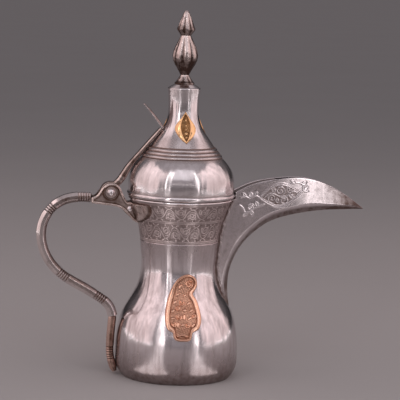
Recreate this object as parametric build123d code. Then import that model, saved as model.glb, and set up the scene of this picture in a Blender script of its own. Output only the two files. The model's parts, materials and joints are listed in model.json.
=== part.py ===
"""Dallah coffee pot: a waisted silver pot with a beak spout, a hinged spired lid and a strap handle.

Frame: +Z up, the spout points along +X, the handle along -X. The origin is the centre of the flat foot.
All sizes are in millimetres.
"""

import math
import os

from build123d import *

# ---------------------------------------------------------------- driving dimensions
SHEET = 1.2  # raised silver sheet of the body and lid
PLATE = 1.3  # gilt plaques that lie on the sheet

FOOT_R = 44.5
FOOT_T = 1.4
WAIST_R, WAIST_Z = 30.7, 91.6
RIM_R, RIM_Z = 42.5, 147.5
BULB = [
    (FOOT_R, 0), (48.4, 5.5), (50.6, 20), (49.6, 36), (44.2, 54.5), (36.6, 67.5), (32.2, 79.5), (WAIST_R, WAIST_Z),
]
NECK = [(WAIST_R, WAIST_Z), (31.6, 104), (33.4, 120.5), (36.8, 133.5), (RIM_R, RIM_Z)]
RING_H, RING_PROUD = 1.2, 0.5  # half-round strip that stiffens the mouth

BEAD_R, BEAD_TUBE, BEAD_Z = 42.0, 2.3, 150.3
DOME_Z = 152.0
RIB_Z, RIB_R = 180.8, 32.6
RIB_PITCH, RIB_COUNT, RIB_TUBE = 2.7, 3, 1.25
DOME = [(43.2, DOME_Z), (43.3, 158.5), (42.4, 166), (39.2, 173), (RIB_R, RIB_Z)]
SHOULDER_R, SHOULDER_Z = 13.3, 236.4
SPIRE = [
    (RIB_R, RIB_Z), (28.0, 186.8), (22.4, 194.8), (16.7, 203), (13.4, 211.3), (12.3, 221.5), (SHOULDER_R, SHOULDER_Z),
]
BEZEL_R, BEZEL_LOW = 37.8, 143.6

CAP_TOP_Z, CAP_TOP_R = 240.0, 8.2
STEM_R, STEM_LOW, STEM_TOP = 1.5, 230.0, 288.0
SOCKET = [(7.8, 240.0), (7.8, 241.4), (7.0, 242.2), (6.0, 243.6), (4.2, 246.0), (3.5, 247.6)]
FINIAL_BULB = [
    (3.5, 247.6), (6.3, 252.5), (9.6, 258.5), (10.4, 262.6), (9.2, 268.8), (6.9, 273.6), (4.2, 279.4),
]
FINIAL_BUD = [(4.2, 279.4), (6.0, 282.0), (7.4, 285.2), (5.7, 290.0), (3.6, 294.4), (1.7, 298.6)]
TOP_Z = 300.0

PIN_X, PIN_Z, PIN_R = -58.0, 151.2, 2.0
KNUCKLE_R, PIN_PLAY, SIDE_PLAY, KNUCKLE_GAP = 8.4, 0.06, 0.25, 0.4
CHEEK_IN, CHEEK_OUT = 4.2, 6.0  # inner and outer face of each hinge cheek, from the middle plane
HEAD_R, HEAD_H = 3.1, 1.7
WASHER_R, WASHER_T = 4.6, 0.5
RIVET_X, RIVET_Z, RIVET_R, RIVET_HEAD_R = -42.0, 138.0, 1.4, 2.5
CLASP_T, CLASP_HALF_W, CLASP_H, CLASP_TOP = 1.6, 29.0, 17.0, 143.6

STRAP_OUTER = [(-60.0, 159.3), (-54.0, 160.6), (-47.3, 170.6), (-41.4, 177.9), (-33.2, 187.6), (-19.2, 203.2)]
STRAP_INNER = [
    (-50.4, 148.6), (-48.0, 153.6), (-45.8, 160.6), (-42.8, 168.4), (-38.2, 175.6), (-25.0, 192.6), (-17.2, 202.2),
]
THUMB_ROOT, THUMB_TIP = (-17.4, 203.6), (-32.6, 223.7)
THUMB_T, THUMB_W = 2.2, 13.0

# octagonal bar: its width across the sides, its height from top to bottom, and its chamfer
HANDLE_W, HANDLE_H, HANDLE_EDGE = 9.0, 7.8, 2.5
BAR_PATH = [
    (-71.5, 146.0), (-86, 146.3), (-98.5, 142.6), (-108, 134), (-113.2, 121), (-112.2, 106.5), (-106.5, 94),
    (-95.5, 82.4), (-79, 72.6), (-64, 63.4), (-56.4, 56.6), (-53.6, 49.0),
]
TAIL_W, TAIL_H = 8.4, 6.2
TAIL_PATH = [(-53.6, 49.0), (-54.4, 39), (-55.0, 28), (-54.9, 18), (-53.2, 10), (-50.6, 2.6)]

SPOUT_T = 1.1
# stations along the spout's keel: the keel's x and z, the direction to the top edge in degrees, the depth,
# the chine's height and half-width, and the top edge's half-width
SPOUT = [
    (43.6, 55.0, 180, 17, 1.6, 3.2, 4.5),
    (41.4, 72.0, 180, 17, 4.4, 6.3, 7.0),
    (42.0, 85.0, 173, 19, 4.8, 7.6, 8.0),
    (45.6, 97.0, 161, 26, 5.2, 8.2, 8.6),
    (50.2, 106.0, 148, 36, 5.5, 8.4, 8.8),
    (57.4, 115.2, 136, 42, 6.0, 8.4, 8.7),
    (65.2, 122.1, 127, 38.0, 6.3, 8.0, 8.3),
    (73.4, 127.6, 120, 36.0, 6.6, 7.7, 7.6),
    (88.8, 133.2, 107.5, 32.6, 7.0, 7.2, 6.5),
    (104.8, 136.5, 100, 29.4, 6.3, 6.1, 4.8),
    (120.9, 138.5, 94.5, 22.6, 5.0, 4.4, 3.2),
    (137.0, 139.2, 91.5, 13.0, 3.2, 2.9, 2.3),
    (147.0, 139.6, 90, 5.4, 1.7, 1.7, 1.5),
    (153.0, 139.7, 90, 0.8, 0.3, 0.5, 0.5),
]
BRIDGE_END_X, BRIDGE_DROP = 77.0, 1.2
STRAINER_R = 1.5
STRAINER_ROWS = [(z, 2 + row % 2) for row, z in enumerate(range(100, 141, 5))]

# plaque outlines in the front view, x then z
MEDALLION = [
    (-9.6, 43.8), (-13.0, 45.8), (-15.2, 50.0), (-15.6, 55.5), (-14.4, 63.5), (-12.0, 71.5), (-8.6, 79.0),
    (-4.4, 84.8), (0.2, 87.8), (4.2, 88.4), (8.2, 86.9), (10.8, 83.4), (11.0, 79.4), (9.4, 76.2), (7.6, 73.6),
    (9.8, 69.6), (12.2, 63.6), (13.7, 56.0), (13.0, 50.0), (10.2, 46.0), (6.6, 44.2), (5.6, 41.2), (4.6, 38.6),
    (2.4, 37.5), (-0.9, 37.3), (-5.4, 37.5), (-8.2, 38.9), (-9.2, 41.4),
]
DROP_LEFT = [(0, 218.6), (-4.0, 212.6), (-8.5, 204.6), (-5.6, 198.6), (0, 193.8)]
DROP_TURNS = {"front": 0, "right": 118, "left": -136}  # the strap keeps the third one off an even spacing


# ---------------------------------------------------------------- helpers
def wire_xz(points, closed=False):
    """A smooth curve through (x, z) points in the XZ plane."""
    return Spline(*[(x, 0, z) for x, z in points], periodic=closed)


def inward(points, distance):
    """The same outline moved towards the axis, square to its own direction."""
    moved = []
    for i, (r, z) in enumerate(points):
        r0, z0 = points[max(i - 1, 0)]
        r1, z1 = points[min(i + 1, len(points) - 1)]
        length = math.hypot(r1 - r0, z1 - z0)
        nr, nz = -(z1 - z0) / length, (r1 - r0) / length
        if i in (0, len(points) - 1):  # the ends stay level
            nr, nz = -1 / max(abs(nr), 0.5), 0
        moved.append((r + nr * distance, z + nz * distance))
    return moved


def shell(points, thickness=SHEET):
    """A turned sheet whose outer face follows the points."""
    outer = wire_xz(points)
    inner = wire_xz(inward(points, thickness))
    face = make_face([outer, Line(outer @ 1, inner @ 1), inner, Line(inner @ 0, outer @ 0)])
    return revolve(face, Axis.Z)


def turned(points, bore=0.0):
    """A solid of revolution under the points, with a bore."""
    (r0, z0), (r1, z1) = points[0], points[-1]
    outer = wire_xz(points)
    face = make_face([
        outer,
        Line((r1, 0, z1), (bore, 0, z1)),
        Line((bore, 0, z1), (bore, 0, z0)),
        Line((bore, 0, z0), (r0, 0, z0)),
    ])
    return revolve(face, Axis.Z)


def stepped(points):
    """A solid or ring of revolution inside a straight-sided (r, z) outline."""
    return revolve(make_face(Polyline(*[(r, 0, z) for r, z in points], close=True)), Axis.Z)


def across(radius, half_length, x, z):
    """A rod along Y, centred on the middle plane."""
    return Pos(x, 0, z) * Rot(90, 0, 0) * Cylinder(radius, 2 * half_length)


def plate_xz(edges, y_low, y_high):
    """An outline in the XZ plane given thickness along Y."""
    face = make_face(edges)
    solid = extrude(face, amount=y_high - y_low, dir=(0, 1, 0))
    return Pos(0, y_low, 0) * solid


def body_core():
    """Everything inside the outer face of the body, for trimming what is soldered to it."""
    return turned(BULB) + turned(NECK)


# ---------------------------------------------------------------- body
def make_body():
    """The foot, the bulb, the neck with its strainer holes, and the mouth ring."""
    foot_r = inward(BULB, SHEET)[0][0]
    foot = stepped([(0, 0), (foot_r, 0), (foot_r, FOOT_T), (0, FOOT_T)])
    neck = shell(NECK)
    for z, columns in STRAINER_ROWS:
        for column in range(columns):
            y = (column - (columns - 1) / 2) * 4.6
            neck -= Pos(35, y, z) * Rot(0, 90, 0) * Cylinder(STRAINER_R, 30)
    ring = stepped([
        (RIM_R - 3, RIM_Z - RING_H), (RIM_R, RIM_Z - RING_H), (RIM_R + RING_PROUD, RIM_Z - RING_H / 2),
        (RIM_R + RING_PROUD / 2, RIM_Z), (RIM_R - 3, RIM_Z),
    ]) - turned(NECK)
    return {"foot_plate": foot, "body_bulb": shell(BULB), "body_neck": neck, "mouth_ring": ring}


# ---------------------------------------------------------------- spout
def spout_section(station, wall, lift):
    """One five-sided section of the beak: keel, two chines and two top corners, moved in by the wall."""
    x, z, angle, depth, chine_h, chine_w, top_w = station
    a = math.radians(angle)
    nx, nz = math.cos(a), math.sin(a)

    def corner(y, height):
        return (x + nx * height, y, z + nz * height)

    keel = corner(0, wall * 1.35)
    near = [corner(-(chine_w - wall), chine_h + wall * 0.35), corner(-(top_w - wall), depth + lift)]
    far = [(px, -py, pz) for px, py, pz in reversed(near)]
    return make_face(Polyline(keel, *near, *far, close=True))


def make_spout(core):
    """The folded beak, open along its top, and the small cover that bridges its root."""
    outer = loft([spout_section(s, 0, 0) for s in SPOUT], ruled=True)
    inner = loft([spout_section(s, SPOUT_T, 4) for s in SPOUT[:-2]], ruled=True)
    lid_room = Pos(0, 0, RIM_Z + 20) * Cylinder(BEAD_R + BEAD_TUBE + 0.7, 40)
    ring_room = Pos(0, 0, RIM_Z - RING_H / 2) * Cylinder(RIM_R + RING_PROUD + 0.05, RING_H + 0.1)
    room = core + lid_room + ring_room
    beak = outer - inner - room
    top = [top_edge(s) for s in SPOUT[6:10]]
    low = [(x, z - BRIDGE_DROP - 1.0) for x, z in top]
    high = [(x, z - BRIDGE_DROP) for x, z in top]
    low_edge, high_edge = wire_xz(low), wire_xz(high)
    edges = [high_edge, Line(high_edge @ 1, low_edge @ 1), low_edge, Line(low_edge @ 0, high_edge @ 0)]
    slab = plate_xz(edges, -15, 15)
    slab -= Pos(BRIDGE_END_X + 50, 0, 160) * Box(100, 60, 60)
    bridge = (slab & inner) - room
    return {"spout_beak": largest(beak), "spout_bridge": largest(bridge)}


def top_edge(station):
    """Where a station's top corners lie in the side view."""
    x, z, angle, depth = station[:4]
    a = math.radians(angle)
    return (x + math.cos(a) * depth, z + math.sin(a) * depth)


def largest(shape):
    """The biggest solid of a shape, which drops slivers that a cut leaves."""
    return max(shape.solids(), key=lambda s: s.volume)


# ---------------------------------------------------------------- lid
def make_lid():
    """The ribbed dome, the spire, the rolled bead at the edge and the bezel that sits in the mouth."""
    dome = shell(DOME)
    bead = revolve(Pos(BEAD_R, 0, BEAD_Z) * Rot(90, 0, 0) * Circle(BEAD_TUBE), Axis.Z) - dome
    bezel = stepped([
        (BEZEL_R - 1.1, BEZEL_LOW), (BEZEL_R, BEZEL_LOW + 0.6), (BEZEL_R, BEAD_Z - 0.6), (BEAD_R, BEAD_Z - 0.6),
        (BEAD_R, BEAD_Z + 0.6), (BEZEL_R - 1.1, BEAD_Z + 0.6),
    ]) - bead
    spire = shell(SPIRE)
    ribs = None
    for i in range(RIB_COUNT):
        r = RIB_R + (28.0 - RIB_R) / 6.0 * RIB_PITCH * (i + 0.55)
        rib = revolve(Pos(r, 0, RIB_Z + RIB_PITCH * (i + 0.55)) * Rot(90, 0, 0) * Circle(RIB_TUBE), Axis.Z)
        ribs = rib if ribs is None else ribs + rib
    hollow = turned(inward(SPIRE, SHEET * 0.5))
    spire = spire + (ribs - hollow)
    return {"lid_dome": dome, "lid_bead": bead, "lid_bezel": largest(bezel), "lid_spire": spire}


def make_finial():
    """The cap of the spire and the beads that a long stem and a nut hold down on it."""
    inner_r = inward(SPIRE, SHEET)[-1][0]
    cap = stepped([
        (STEM_R, SHOULDER_Z - 1.6), (inner_r, SHOULDER_Z - 1.6), (inner_r, SHOULDER_Z), (SHOULDER_R, SHOULDER_Z),
        (CAP_TOP_R, CAP_TOP_Z), (STEM_R, CAP_TOP_Z),
    ]) - shell(SPIRE)
    socket = turned(SOCKET, STEM_R)
    bulb = turned(FINIAL_BULB, STEM_R)
    bud_tip_r, bud_tip_z = FINIAL_BUD[-1]
    tip = stepped([
        (0, bud_tip_z), (bud_tip_r, bud_tip_z), (bud_tip_r * 0.8, TOP_Z - 0.5), (0.6, TOP_Z), (0, TOP_Z),
    ])
    bud = turned(FINIAL_BUD) + tip
    stem = Pos(0, 0, (STEM_LOW + STEM_TOP) / 2) * Cylinder(STEM_R, STEM_TOP - STEM_LOW)
    nut_top = SHOULDER_Z - 1.6
    nut = Pos(0, 0, nut_top - 2.2) * extrude(RegularPolygon(3.4, 6), amount=2.2) - stem
    return {
        "spire_cap": cap, "finial_socket": socket, "finial_bulb": bulb, "finial_bud": bud - stem,
        "finial_stem": stem, "finial_nut": nut,
    }


def make_lever():
    """The strap that joins the lid to the hinge, and the plate that the thumb presses."""
    half = CHEEK_IN - SIDE_PLAY
    outline = Polyline(*[(x, 0, z) for x, z in STRAP_OUTER + STRAP_INNER[::-1]], close=True)
    strap = plate_xz([outline], -half, half)
    strap = strap - turned(SPIRE) - turned(DOME)
    strap -= Pos(0, 0, RIB_Z + 4) * Cone(RIB_R + 4.2, RIB_R - 4.0, 11)
    strap += across(KNUCKLE_R, half, PIN_X, PIN_Z)
    strap -= across(PIN_R + PIN_PLAY, 10, PIN_X, PIN_Z)
    (foot_x, foot_z), (tip_x, tip_z) = THUMB_ROOT, THUMB_TIP
    length = math.hypot(tip_x - foot_x, tip_z - foot_z)
    tilt = math.degrees(math.atan2(tip_z - foot_z, tip_x - foot_x))
    side = [(0, half), (length * 0.3, THUMB_W * 0.36), (length * 0.7, THUMB_W / 2), (length, 0)]
    leaf = make_face([
        Spline(*[(x, y) for x, y in side]), Spline(*[(x, -y) for x, y in reversed(side)]), Line((0, -half), (0, half)),
    ])
    thumb = Pos(foot_x, 0, foot_z) * Rot(0, -tilt, 0) * extrude(leaf, amount=-THUMB_T)
    thumb = thumb - strap - turned(SPIRE)
    return {"lid_strap": largest(strap), "thumb_plate": largest(thumb)}


# ---------------------------------------------------------------- hinge and handle
def make_bracket(core):
    """The clasp round the neck, the two hinge cheeks, the hinge pin with its washers, and the lower rivet."""
    grown = [(r + CLASP_T, z) for r, z in NECK]
    petal = extrude(Plane.YZ * Pos(0, CLASP_TOP, 0) * Ellipse(CLASP_HALF_W, CLASP_H), amount=60, dir=(-1, 0, 0))
    petal -= Pos(0, 0, CLASP_TOP + 50) * Box(300, 200, 100)
    wings = (turned(grown) & petal) - core
    lug = plate_xz([Polyline(
        (-34, 0, 126.4), (-39.0, 0, 128.6), (-46.8, 0, 135.4), (-46.8, 0, 140.6), (-44.6, 0, CLASP_TOP),
        (-34, 0, CLASP_TOP), close=True,
    )], -CHEEK_IN, CHEEK_IN)
    rivet_hole = across(RIVET_R, 10, RIVET_X, RIVET_Z)
    clasp = largest(wings + (lug - core) - rivet_hole)
    side = [
        Line((-73.5, 0, 142.1), (-73.5, 0, 146.8)),
        Spline((-73.5, 0, 146.8), (-70, 0, 148.2), (-66.0, 0, 153.4), (-58.0, 0, 158.6), (-50.8, 0, 155.2),
               (-48.2, 0, 150.0), (-44.4, 0, 143.4)),
        Line((-44.4, 0, 143.4), (-34, 0, 142.4)),
        Line((-34, 0, 142.4), (-34, 0, 126.0)),
        Spline((-34, 0, 126.0), (-37.6, 0, 127.4), (-43.4, 0, 132.8), (-49.6, 0, 138.2), (-60, 0, 140.6),
               (-73.5, 0, 142.1)),
    ]
    holes = across(PIN_R, 10, PIN_X, PIN_Z) + rivet_hole
    near = largest(plate_xz(side, -CHEEK_OUT, -CHEEK_IN) - core - clasp - holes)
    pin = across(PIN_R, CHEEK_OUT + WASHER_T, PIN_X, PIN_Z)
    rivet = across(RIVET_R, CHEEK_OUT, RIVET_X, RIVET_Z)
    for y_side in (-1, 1):
        pin += domed_head(HEAD_R, HEAD_H, y_side * (CHEEK_OUT + WASHER_T), y_side, PIN_X, PIN_Z)
        rivet += domed_head(RIVET_HEAD_R, HEAD_H * 0.8, y_side * CHEEK_OUT, y_side, RIVET_X, RIVET_Z)
    washer = Pos(PIN_X, 0, PIN_Z) * Rot(90, 0, 0) * (Cylinder(WASHER_R, WASHER_T) - Cylinder(PIN_R, WASHER_T))
    offset = CHEEK_OUT + WASHER_T / 2
    return {
        "neck_clasp": clasp, "cheek_near": near, "cheek_far": mirror(near, Plane.XZ), "hinge_pin": pin,
        "clasp_rivet": rivet - clasp, "washer_near": Pos(0, -offset, 0) * washer,
        "washer_far": Pos(0, offset, 0) * washer,
    }


def domed_head(radius, height, y, side, x, z):
    """A rivet head: the cap of a ball, standing out along Y on one side."""
    ball_r = (radius**2 + height**2) / (2 * height)
    ball = Pos(x, y - side * (ball_r - height), z) * Sphere(ball_r)
    return ball & Pos(x, y + side * height, z) * Box(4 * radius, 2 * height, 4 * radius)


def octagon(path, width, height, edge):
    """The section of a bar with chamfered corners, square to the start of its path."""
    w, h = width / 2, height / 2
    right = [(w - edge, h), (w, h - edge), (w, -h + edge), (w - edge, -h)]
    points = right + [(-x, y) for x, y in reversed(right)]
    plane = Plane(origin=path @ 0, x_dir=(0, 1, 0), z_dir=path % 0)
    return plane * make_face(Polyline(*points, close=True))


def make_handle(core):
    """The curved octagonal bar, its block between the cheeks, and the tail that follows the bulb to the foot."""
    bar_path, tail_path = wire_xz(BAR_PATH), wire_xz(TAIL_PATH)
    bar = sweep(octagon(bar_path, HANDLE_W, HANDLE_H, HANDLE_EDGE), path=bar_path)
    start = BAR_PATH[0][0]
    block = plate_xz([Polyline(
        (start - 4, 0, 142.4), (start - 4, 0, 149.6), (-60.0, 0, 149.6), (-60, 0, 141.8), close=True,
    )], -CHEEK_IN, CHEEK_IN)
    block -= across(KNUCKLE_R + KNUCKLE_GAP, 20, PIN_X, PIN_Z)
    cheek_room = Pos(-60.0, 0, 150) * (Box(27, 2 * CHEEK_OUT, 60) - Box(27, 2 * CHEEK_IN, 60))
    bar = largest(bar - cheek_room + block)
    tail = sweep(octagon(tail_path, TAIL_W, TAIL_H, HANDLE_EDGE * 0.8), path=tail_path)
    tail = largest(tail - core - bar - Pos(0, 0, -9.4) * Box(400, 100, 20))
    return {"handle_bar": bar, "handle_tail": tail}


# ---------------------------------------------------------------- gilt plaques
def plaque(outline, profile, thickness):
    """A plaque of the given outline that lies on a turned surface, facing -Y."""
    grown = [(r + thickness, z) for r, z in profile]
    block = extrude(make_face(outline), amount=70, dir=(0, -1, 0))
    return largest((turned(grown) & block) - turned(profile))


def make_plaques():
    """A medallion on each side, and three drops round the spire."""
    medallion = plaque([wire_xz(MEDALLION, closed=True)], BULB, PLATE)
    right = [(-x, z) for x, z in reversed(DROP_LEFT)]
    drop = plaque([wire_xz(DROP_LEFT), wire_xz(right)], SPIRE, PLATE)
    drops = {f"lid_drop_{side}": Rot(0, 0, turn) * drop for side, turn in DROP_TURNS.items()}
    return {"medallion_front": medallion, "medallion_back": mirror(medallion, Plane.XZ), **drops}


def main():
    core = body_core()
    parts = {}
    parts.update(make_body())
    parts.update(make_spout(core))
    parts.update(make_lid())
    parts.update(make_finial())
    parts.update(make_lever())
    parts.update(make_bracket(core))
    parts.update(make_handle(core))
    parts.update(make_plaques())
    os.makedirs("parts", exist_ok=True)
    for name, shape in parts.items():
        shape.label = name
        export_step(shape, f"parts/{name}.step")


main()
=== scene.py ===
"""A silver dallah: the visible surfaces of a waisted coffee pot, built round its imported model.

Lengths in the dataclasses are millimetres, in the model's own frame: +Z up, the spout along +X, the handle along -X.
Every mesh is written in metres with its object at the origin.
"""
import json
import logging
import math
from dataclasses import dataclass, field
from enum import Enum
from typing import Callable, Sequence

import bmesh
import bpy
import numpy as np
from mathutils import Matrix, Vector


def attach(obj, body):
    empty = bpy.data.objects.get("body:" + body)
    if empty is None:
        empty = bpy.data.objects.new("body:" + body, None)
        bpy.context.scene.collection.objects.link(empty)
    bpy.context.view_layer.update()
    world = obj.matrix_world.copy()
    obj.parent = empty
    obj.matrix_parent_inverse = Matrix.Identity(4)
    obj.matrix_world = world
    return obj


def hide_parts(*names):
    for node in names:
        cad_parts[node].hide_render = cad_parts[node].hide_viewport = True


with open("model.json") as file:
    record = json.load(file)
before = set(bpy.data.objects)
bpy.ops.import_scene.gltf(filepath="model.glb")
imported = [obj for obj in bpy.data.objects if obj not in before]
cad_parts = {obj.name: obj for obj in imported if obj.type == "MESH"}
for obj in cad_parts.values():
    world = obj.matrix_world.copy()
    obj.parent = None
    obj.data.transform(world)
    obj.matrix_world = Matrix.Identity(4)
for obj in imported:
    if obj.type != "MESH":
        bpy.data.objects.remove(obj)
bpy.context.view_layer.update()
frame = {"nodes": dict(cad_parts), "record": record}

MM = 0.001
LOG = logging.getLogger("dallah")

Array = np.ndarray
Point = tuple[float, float]
Colour = tuple[float, float, float]


# ------------------------------------------------------------------------------------------------ curves
def smooth_curve(points: Sequence[Sequence[float]], count: int) -> Array:
    """A natural cubic spline by chord length.

    The second derivatives solve the usual three-term equations, with zeros at both ends.

    Args:
        points: the points that the curve passes through.
        count: how many points to return, evenly spaced in chord length.

    Returns:
        An array of count points.
    """
    p = np.asarray(points, float)
    t = np.r_[0.0, np.cumsum(np.linalg.norm(np.diff(p, axis=0), axis=1))]
    return spline_at(p, t, np.linspace(0.0, t[-1], count))


def spline_at(p: Array, t: Array, s: Array) -> Array:
    """The natural cubic spline through p at knots t, read at s."""
    n, h = len(p), np.diff(t)
    matrix, right = np.eye(n), np.zeros_like(p)
    i = np.arange(1, n - 1)
    matrix[i, i - 1], matrix[i, i], matrix[i, i + 1] = h[:-1], 2 * (h[:-1] + h[1:]), h[1:]
    slope = np.diff(p, axis=0) / h[:, None]
    right[1:-1] = 6 * (slope[1:] - slope[:-1])
    bend = np.linalg.solve(matrix, right)
    k = np.clip(np.searchsorted(t, s, side="right") - 1, 0, n - 2)
    a = ((t[k + 1] - s) / h[k])[:, None]
    b, step = 1 - a, (h[k] ** 2)[:, None] / 6
    return a * p[k] + b * p[k + 1] + ((a**3 - a) * bend[k] + (b**3 - b) * bend[k + 1]) * step


def resample(points: Array, count: int) -> Array:
    """The same polyline with count points, evenly spaced along it."""
    t = np.r_[0.0, np.cumsum(np.linalg.norm(np.diff(points, axis=0), axis=1))]
    s = np.linspace(0.0, t[-1], count)
    return np.stack([np.interp(s, t, points[:, k]) for k in range(points.shape[1])], axis=1)


def inward(profile: Array, distance: float) -> Array:
    """A turned profile moved towards the axis, square to its own direction."""
    d = np.gradient(profile, axis=0)
    d /= np.linalg.norm(d, axis=1)[:, None]
    return profile + distance * np.stack([-d[:, 1], d[:, 0]], axis=1)


def rounded(loop: Array, width: float) -> Array:
    """A closed outline with its corners softened: each point becomes a Gaussian average of its neighbours."""
    gap = np.linalg.norm(np.roll(loop, -1, axis=0) - loop, axis=1).mean()
    reach = max(1, int(3 * width / gap))
    offsets = np.arange(-reach, reach + 1)
    weights = np.exp(-0.5 * (offsets * gap / width) ** 2)
    weights /= weights.sum()
    return sum(w * np.roll(loop, -int(k), axis=0) for w, k in zip(weights, offsets))


def step(low: float, high: float, x: Array) -> Array:
    """0 under low, 1 over high and a smooth cubic between them."""
    u = np.clip((x - low) / (high - low), 0.0, 1.0)
    return u * u * (3 - 2 * u)


def ridge(distance: Array, width: float) -> Array:
    """1 on a line and 0 away from it, falling as a Gaussian of the distance."""
    return np.exp(-((distance / width) ** 2))


# ------------------------------------------------------------------------------------------------ ornament
@dataclass(frozen=True)
class Curl:
    """A scroll: an Archimedean spiral whose radius grows evenly with its angle, up to its outer radius."""

    centre: Point
    radius: float
    turns: float = 1.6
    sense: int = 1
    start: float = 0.0

    def distance(self, x: Array, y: Array) -> Array:
        """How far each point is from the nearest turn of the spiral."""
        dx, dy = x - self.centre[0], y - self.centre[1]
        rho, phi = np.hypot(dx, dy), np.arctan2(dy * self.sense, dx) - self.start
        pitch = self.radius / self.turns
        turn = rho / pitch - phi / (2 * np.pi)
        near = np.abs(turn - np.round(turn)) * pitch
        return np.hypot(near, np.maximum(rho - self.radius, 0.0) * 2)


@dataclass(frozen=True)
class Leaf:
    """A pointed leaf: its half-width is a sine of the way along it, with a vein down the middle."""

    base: Point
    tip: Point
    width: float

    def distance(self, x: Array, y: Array) -> Array:
        """How far each point is from the leaf's edge or from its vein, whichever is nearer."""
        ax, ay = self.tip[0] - self.base[0], self.tip[1] - self.base[1]
        length = math.hypot(ax, ay)
        dx, dy = x - self.base[0], y - self.base[1]
        along, side = (dx * ax + dy * ay) / length, (dy * ax - dx * ay) / length
        u = np.clip(along / length, 0.0, 1.0)
        outside = np.maximum(np.maximum(-along, along - length), 0.0)
        edge = np.abs(np.abs(side) - self.width * np.sin(np.pi * u))
        return np.hypot(np.minimum(edge, np.abs(side) + 0.3), outside * 2)


@dataclass(frozen=True)
class Vine:
    """A stem through a few points."""

    points: tuple[Point, ...]

    def distance(self, x: Array, y: Array) -> Array:
        """How far each point is from the stem, as the least of the distances to its short chords."""
        path = smooth_curve(self.points, 8 * len(self.points))
        best = np.full(x.shape, 1e3)
        for (x0, y0), (x1, y1) in zip(path[:-1], path[1:]):
            ex, ey = x1 - x0, y1 - y0
            t = np.clip(((x - x0) * ex + (y - y0) * ey) / (ex * ex + ey * ey), 0.0, 1.0)
            best = np.minimum(best, np.hypot(x - x0 - t * ex, y - y0 - t * ey))
        return best


@dataclass(frozen=True)
class Petal:
    """A domed petal: its half-width is a sine of the way along it, and its height a half ellipse across it."""

    base: Point
    tip: Point
    width: float

    def height(self, x: Array, y: Array) -> Array:
        """The petal's height, 0 to 1."""
        ax, ay = self.tip[0] - self.base[0], self.tip[1] - self.base[1]
        length = math.hypot(ax, ay)
        dx, dy = x - self.base[0], y - self.base[1]
        u = (dx * ax + dy * ay) / length**2
        side = (dy * ax - dx * ay) / length
        half = np.maximum(self.width * np.sin(np.pi * np.clip(u, 0, 1)) ** 0.7, 1e-3)
        return np.sqrt(np.clip(1 - (side / half) ** 2, 0, 1)) * np.clip(8 * u, 0, 1) * np.clip(8 * (1 - u), 0, 1)


def ornament(x: Array, y: Array, parts: Sequence[Curl | Leaf | Vine | Petal], width: float) -> Array:
    """The raised lines and petals of an ornament, 0 to 1: the highest of any of its parts."""
    height = np.zeros(x.shape)
    for part in parts:
        if isinstance(part, Petal):
            height = np.maximum(height, part.height(x, y))
        else:
            height = np.maximum(height, ridge(part.distance(x, y), width))
    return height


def outline_distance(x: Array, y: Array, loop: Array) -> Array:
    """How far each point is from a closed outline, measured to its points."""
    best = np.full(x.shape, 1e6)
    for px, py in resample(np.vstack([loop, loop[:1]]), 500):
        best = np.minimum(best, (x - px) ** 2 + (y - py) ** 2)
    return np.sqrt(best)


def stipple(x: Array, y: Array, size: float) -> Array:
    """A matted ground, -1 to 1: four sine waves in uneven directions multiplied in pairs."""
    a = np.sin(x / size * 5.1 + y / size * 1.7) * np.sin(y / size * 4.7 - x / size * 2.3)
    b = np.sin(x / size * 2.9 - y / size * 3.9 + 1.3) * np.sin(x / size * 1.9 + y / size * 6.1 + 0.4)
    return (a + b) / 2


# ------------------------------------------------------------------------------------------------ meshes
def grid_mesh(name: str, xyz: Array, wrap_rows: bool = False, **values: Array) -> bpy.types.Object:
    """A mesh of four-sided faces between the rows and columns of a grid, whose last column joins the first.

    The faces are turned outwards by the sign of the enclosed volume, which sums each triangle's tetrahedron to the
    origin.

    Args:
        name: the piece's name.
        xyz: rows by columns by 3, in millimetres.
        wrap_rows: whether the last row joins the first.
        values: arrays of rows by columns, stored as attributes of the points.

    Returns:
        The new object, smooth shaded, with its poles merged.
    """
    rows, columns = xyz.shape[:2]
    index = np.arange(rows * columns).reshape(rows, columns)
    r = np.arange(rows if wrap_rows else rows - 1)
    r0, c0 = np.meshgrid(r, np.arange(columns), indexing="ij")
    r1, c1 = (r0 + 1) % rows, (c0 + 1) % columns
    quads = np.stack([index[r0, c0], index[r0, c1], index[r1, c1], index[r1, c0]], axis=-1).reshape(-1, 4)
    points = xyz.reshape(-1, 3) * MM
    p, q, s, t = (points[quads[:, k]] for k in range(4))
    volume = np.einsum("ij,ij->", p, np.cross(q, s)) + np.einsum("ij,ij->", p, np.cross(s, t))
    if volume < 0:
        quads = quads[:, ::-1]
    mesh = bpy.data.meshes.new(name)
    mesh.from_pydata(points.tolist(), [], quads.tolist())
    for key, value in values.items():
        layer = mesh.attributes.new(key, "FLOAT", "POINT")
        layer.data.foreach_set("value", np.broadcast_to(value, (rows, columns)).astype(np.float32).ravel())
    shape = bmesh.new()
    shape.from_mesh(mesh)
    bmesh.ops.remove_doubles(shape, verts=shape.verts, dist=2e-7)
    bmesh.ops.dissolve_degenerate(shape, edges=shape.edges, dist=1e-8)
    shape.to_mesh(mesh)
    shape.free()
    mesh.shade_smooth()
    piece = bpy.data.objects.new(name, mesh)
    bpy.context.scene.collection.objects.link(piece)
    return piece


def turned(profile: Array, columns: int, out: Array | float = 0.0) -> Array:
    """A surface of revolution: radius and height along the rows, angle along the columns.

    Args:
        profile: rows by 2, the radius and the height.
        columns: how many columns go round.
        out: rows by columns, how far each point is moved from the axis.

    Returns:
        Rows by columns by 3.
    """
    a = np.arange(columns) * 2 * np.pi / columns
    radius = np.maximum(profile[:, :1] + out, 0.0) * np.ones((1, columns))
    height = profile[:, 1:] * np.ones((1, columns))
    return np.stack([radius * np.cos(a), radius * np.sin(a), height], axis=-1)


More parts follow.
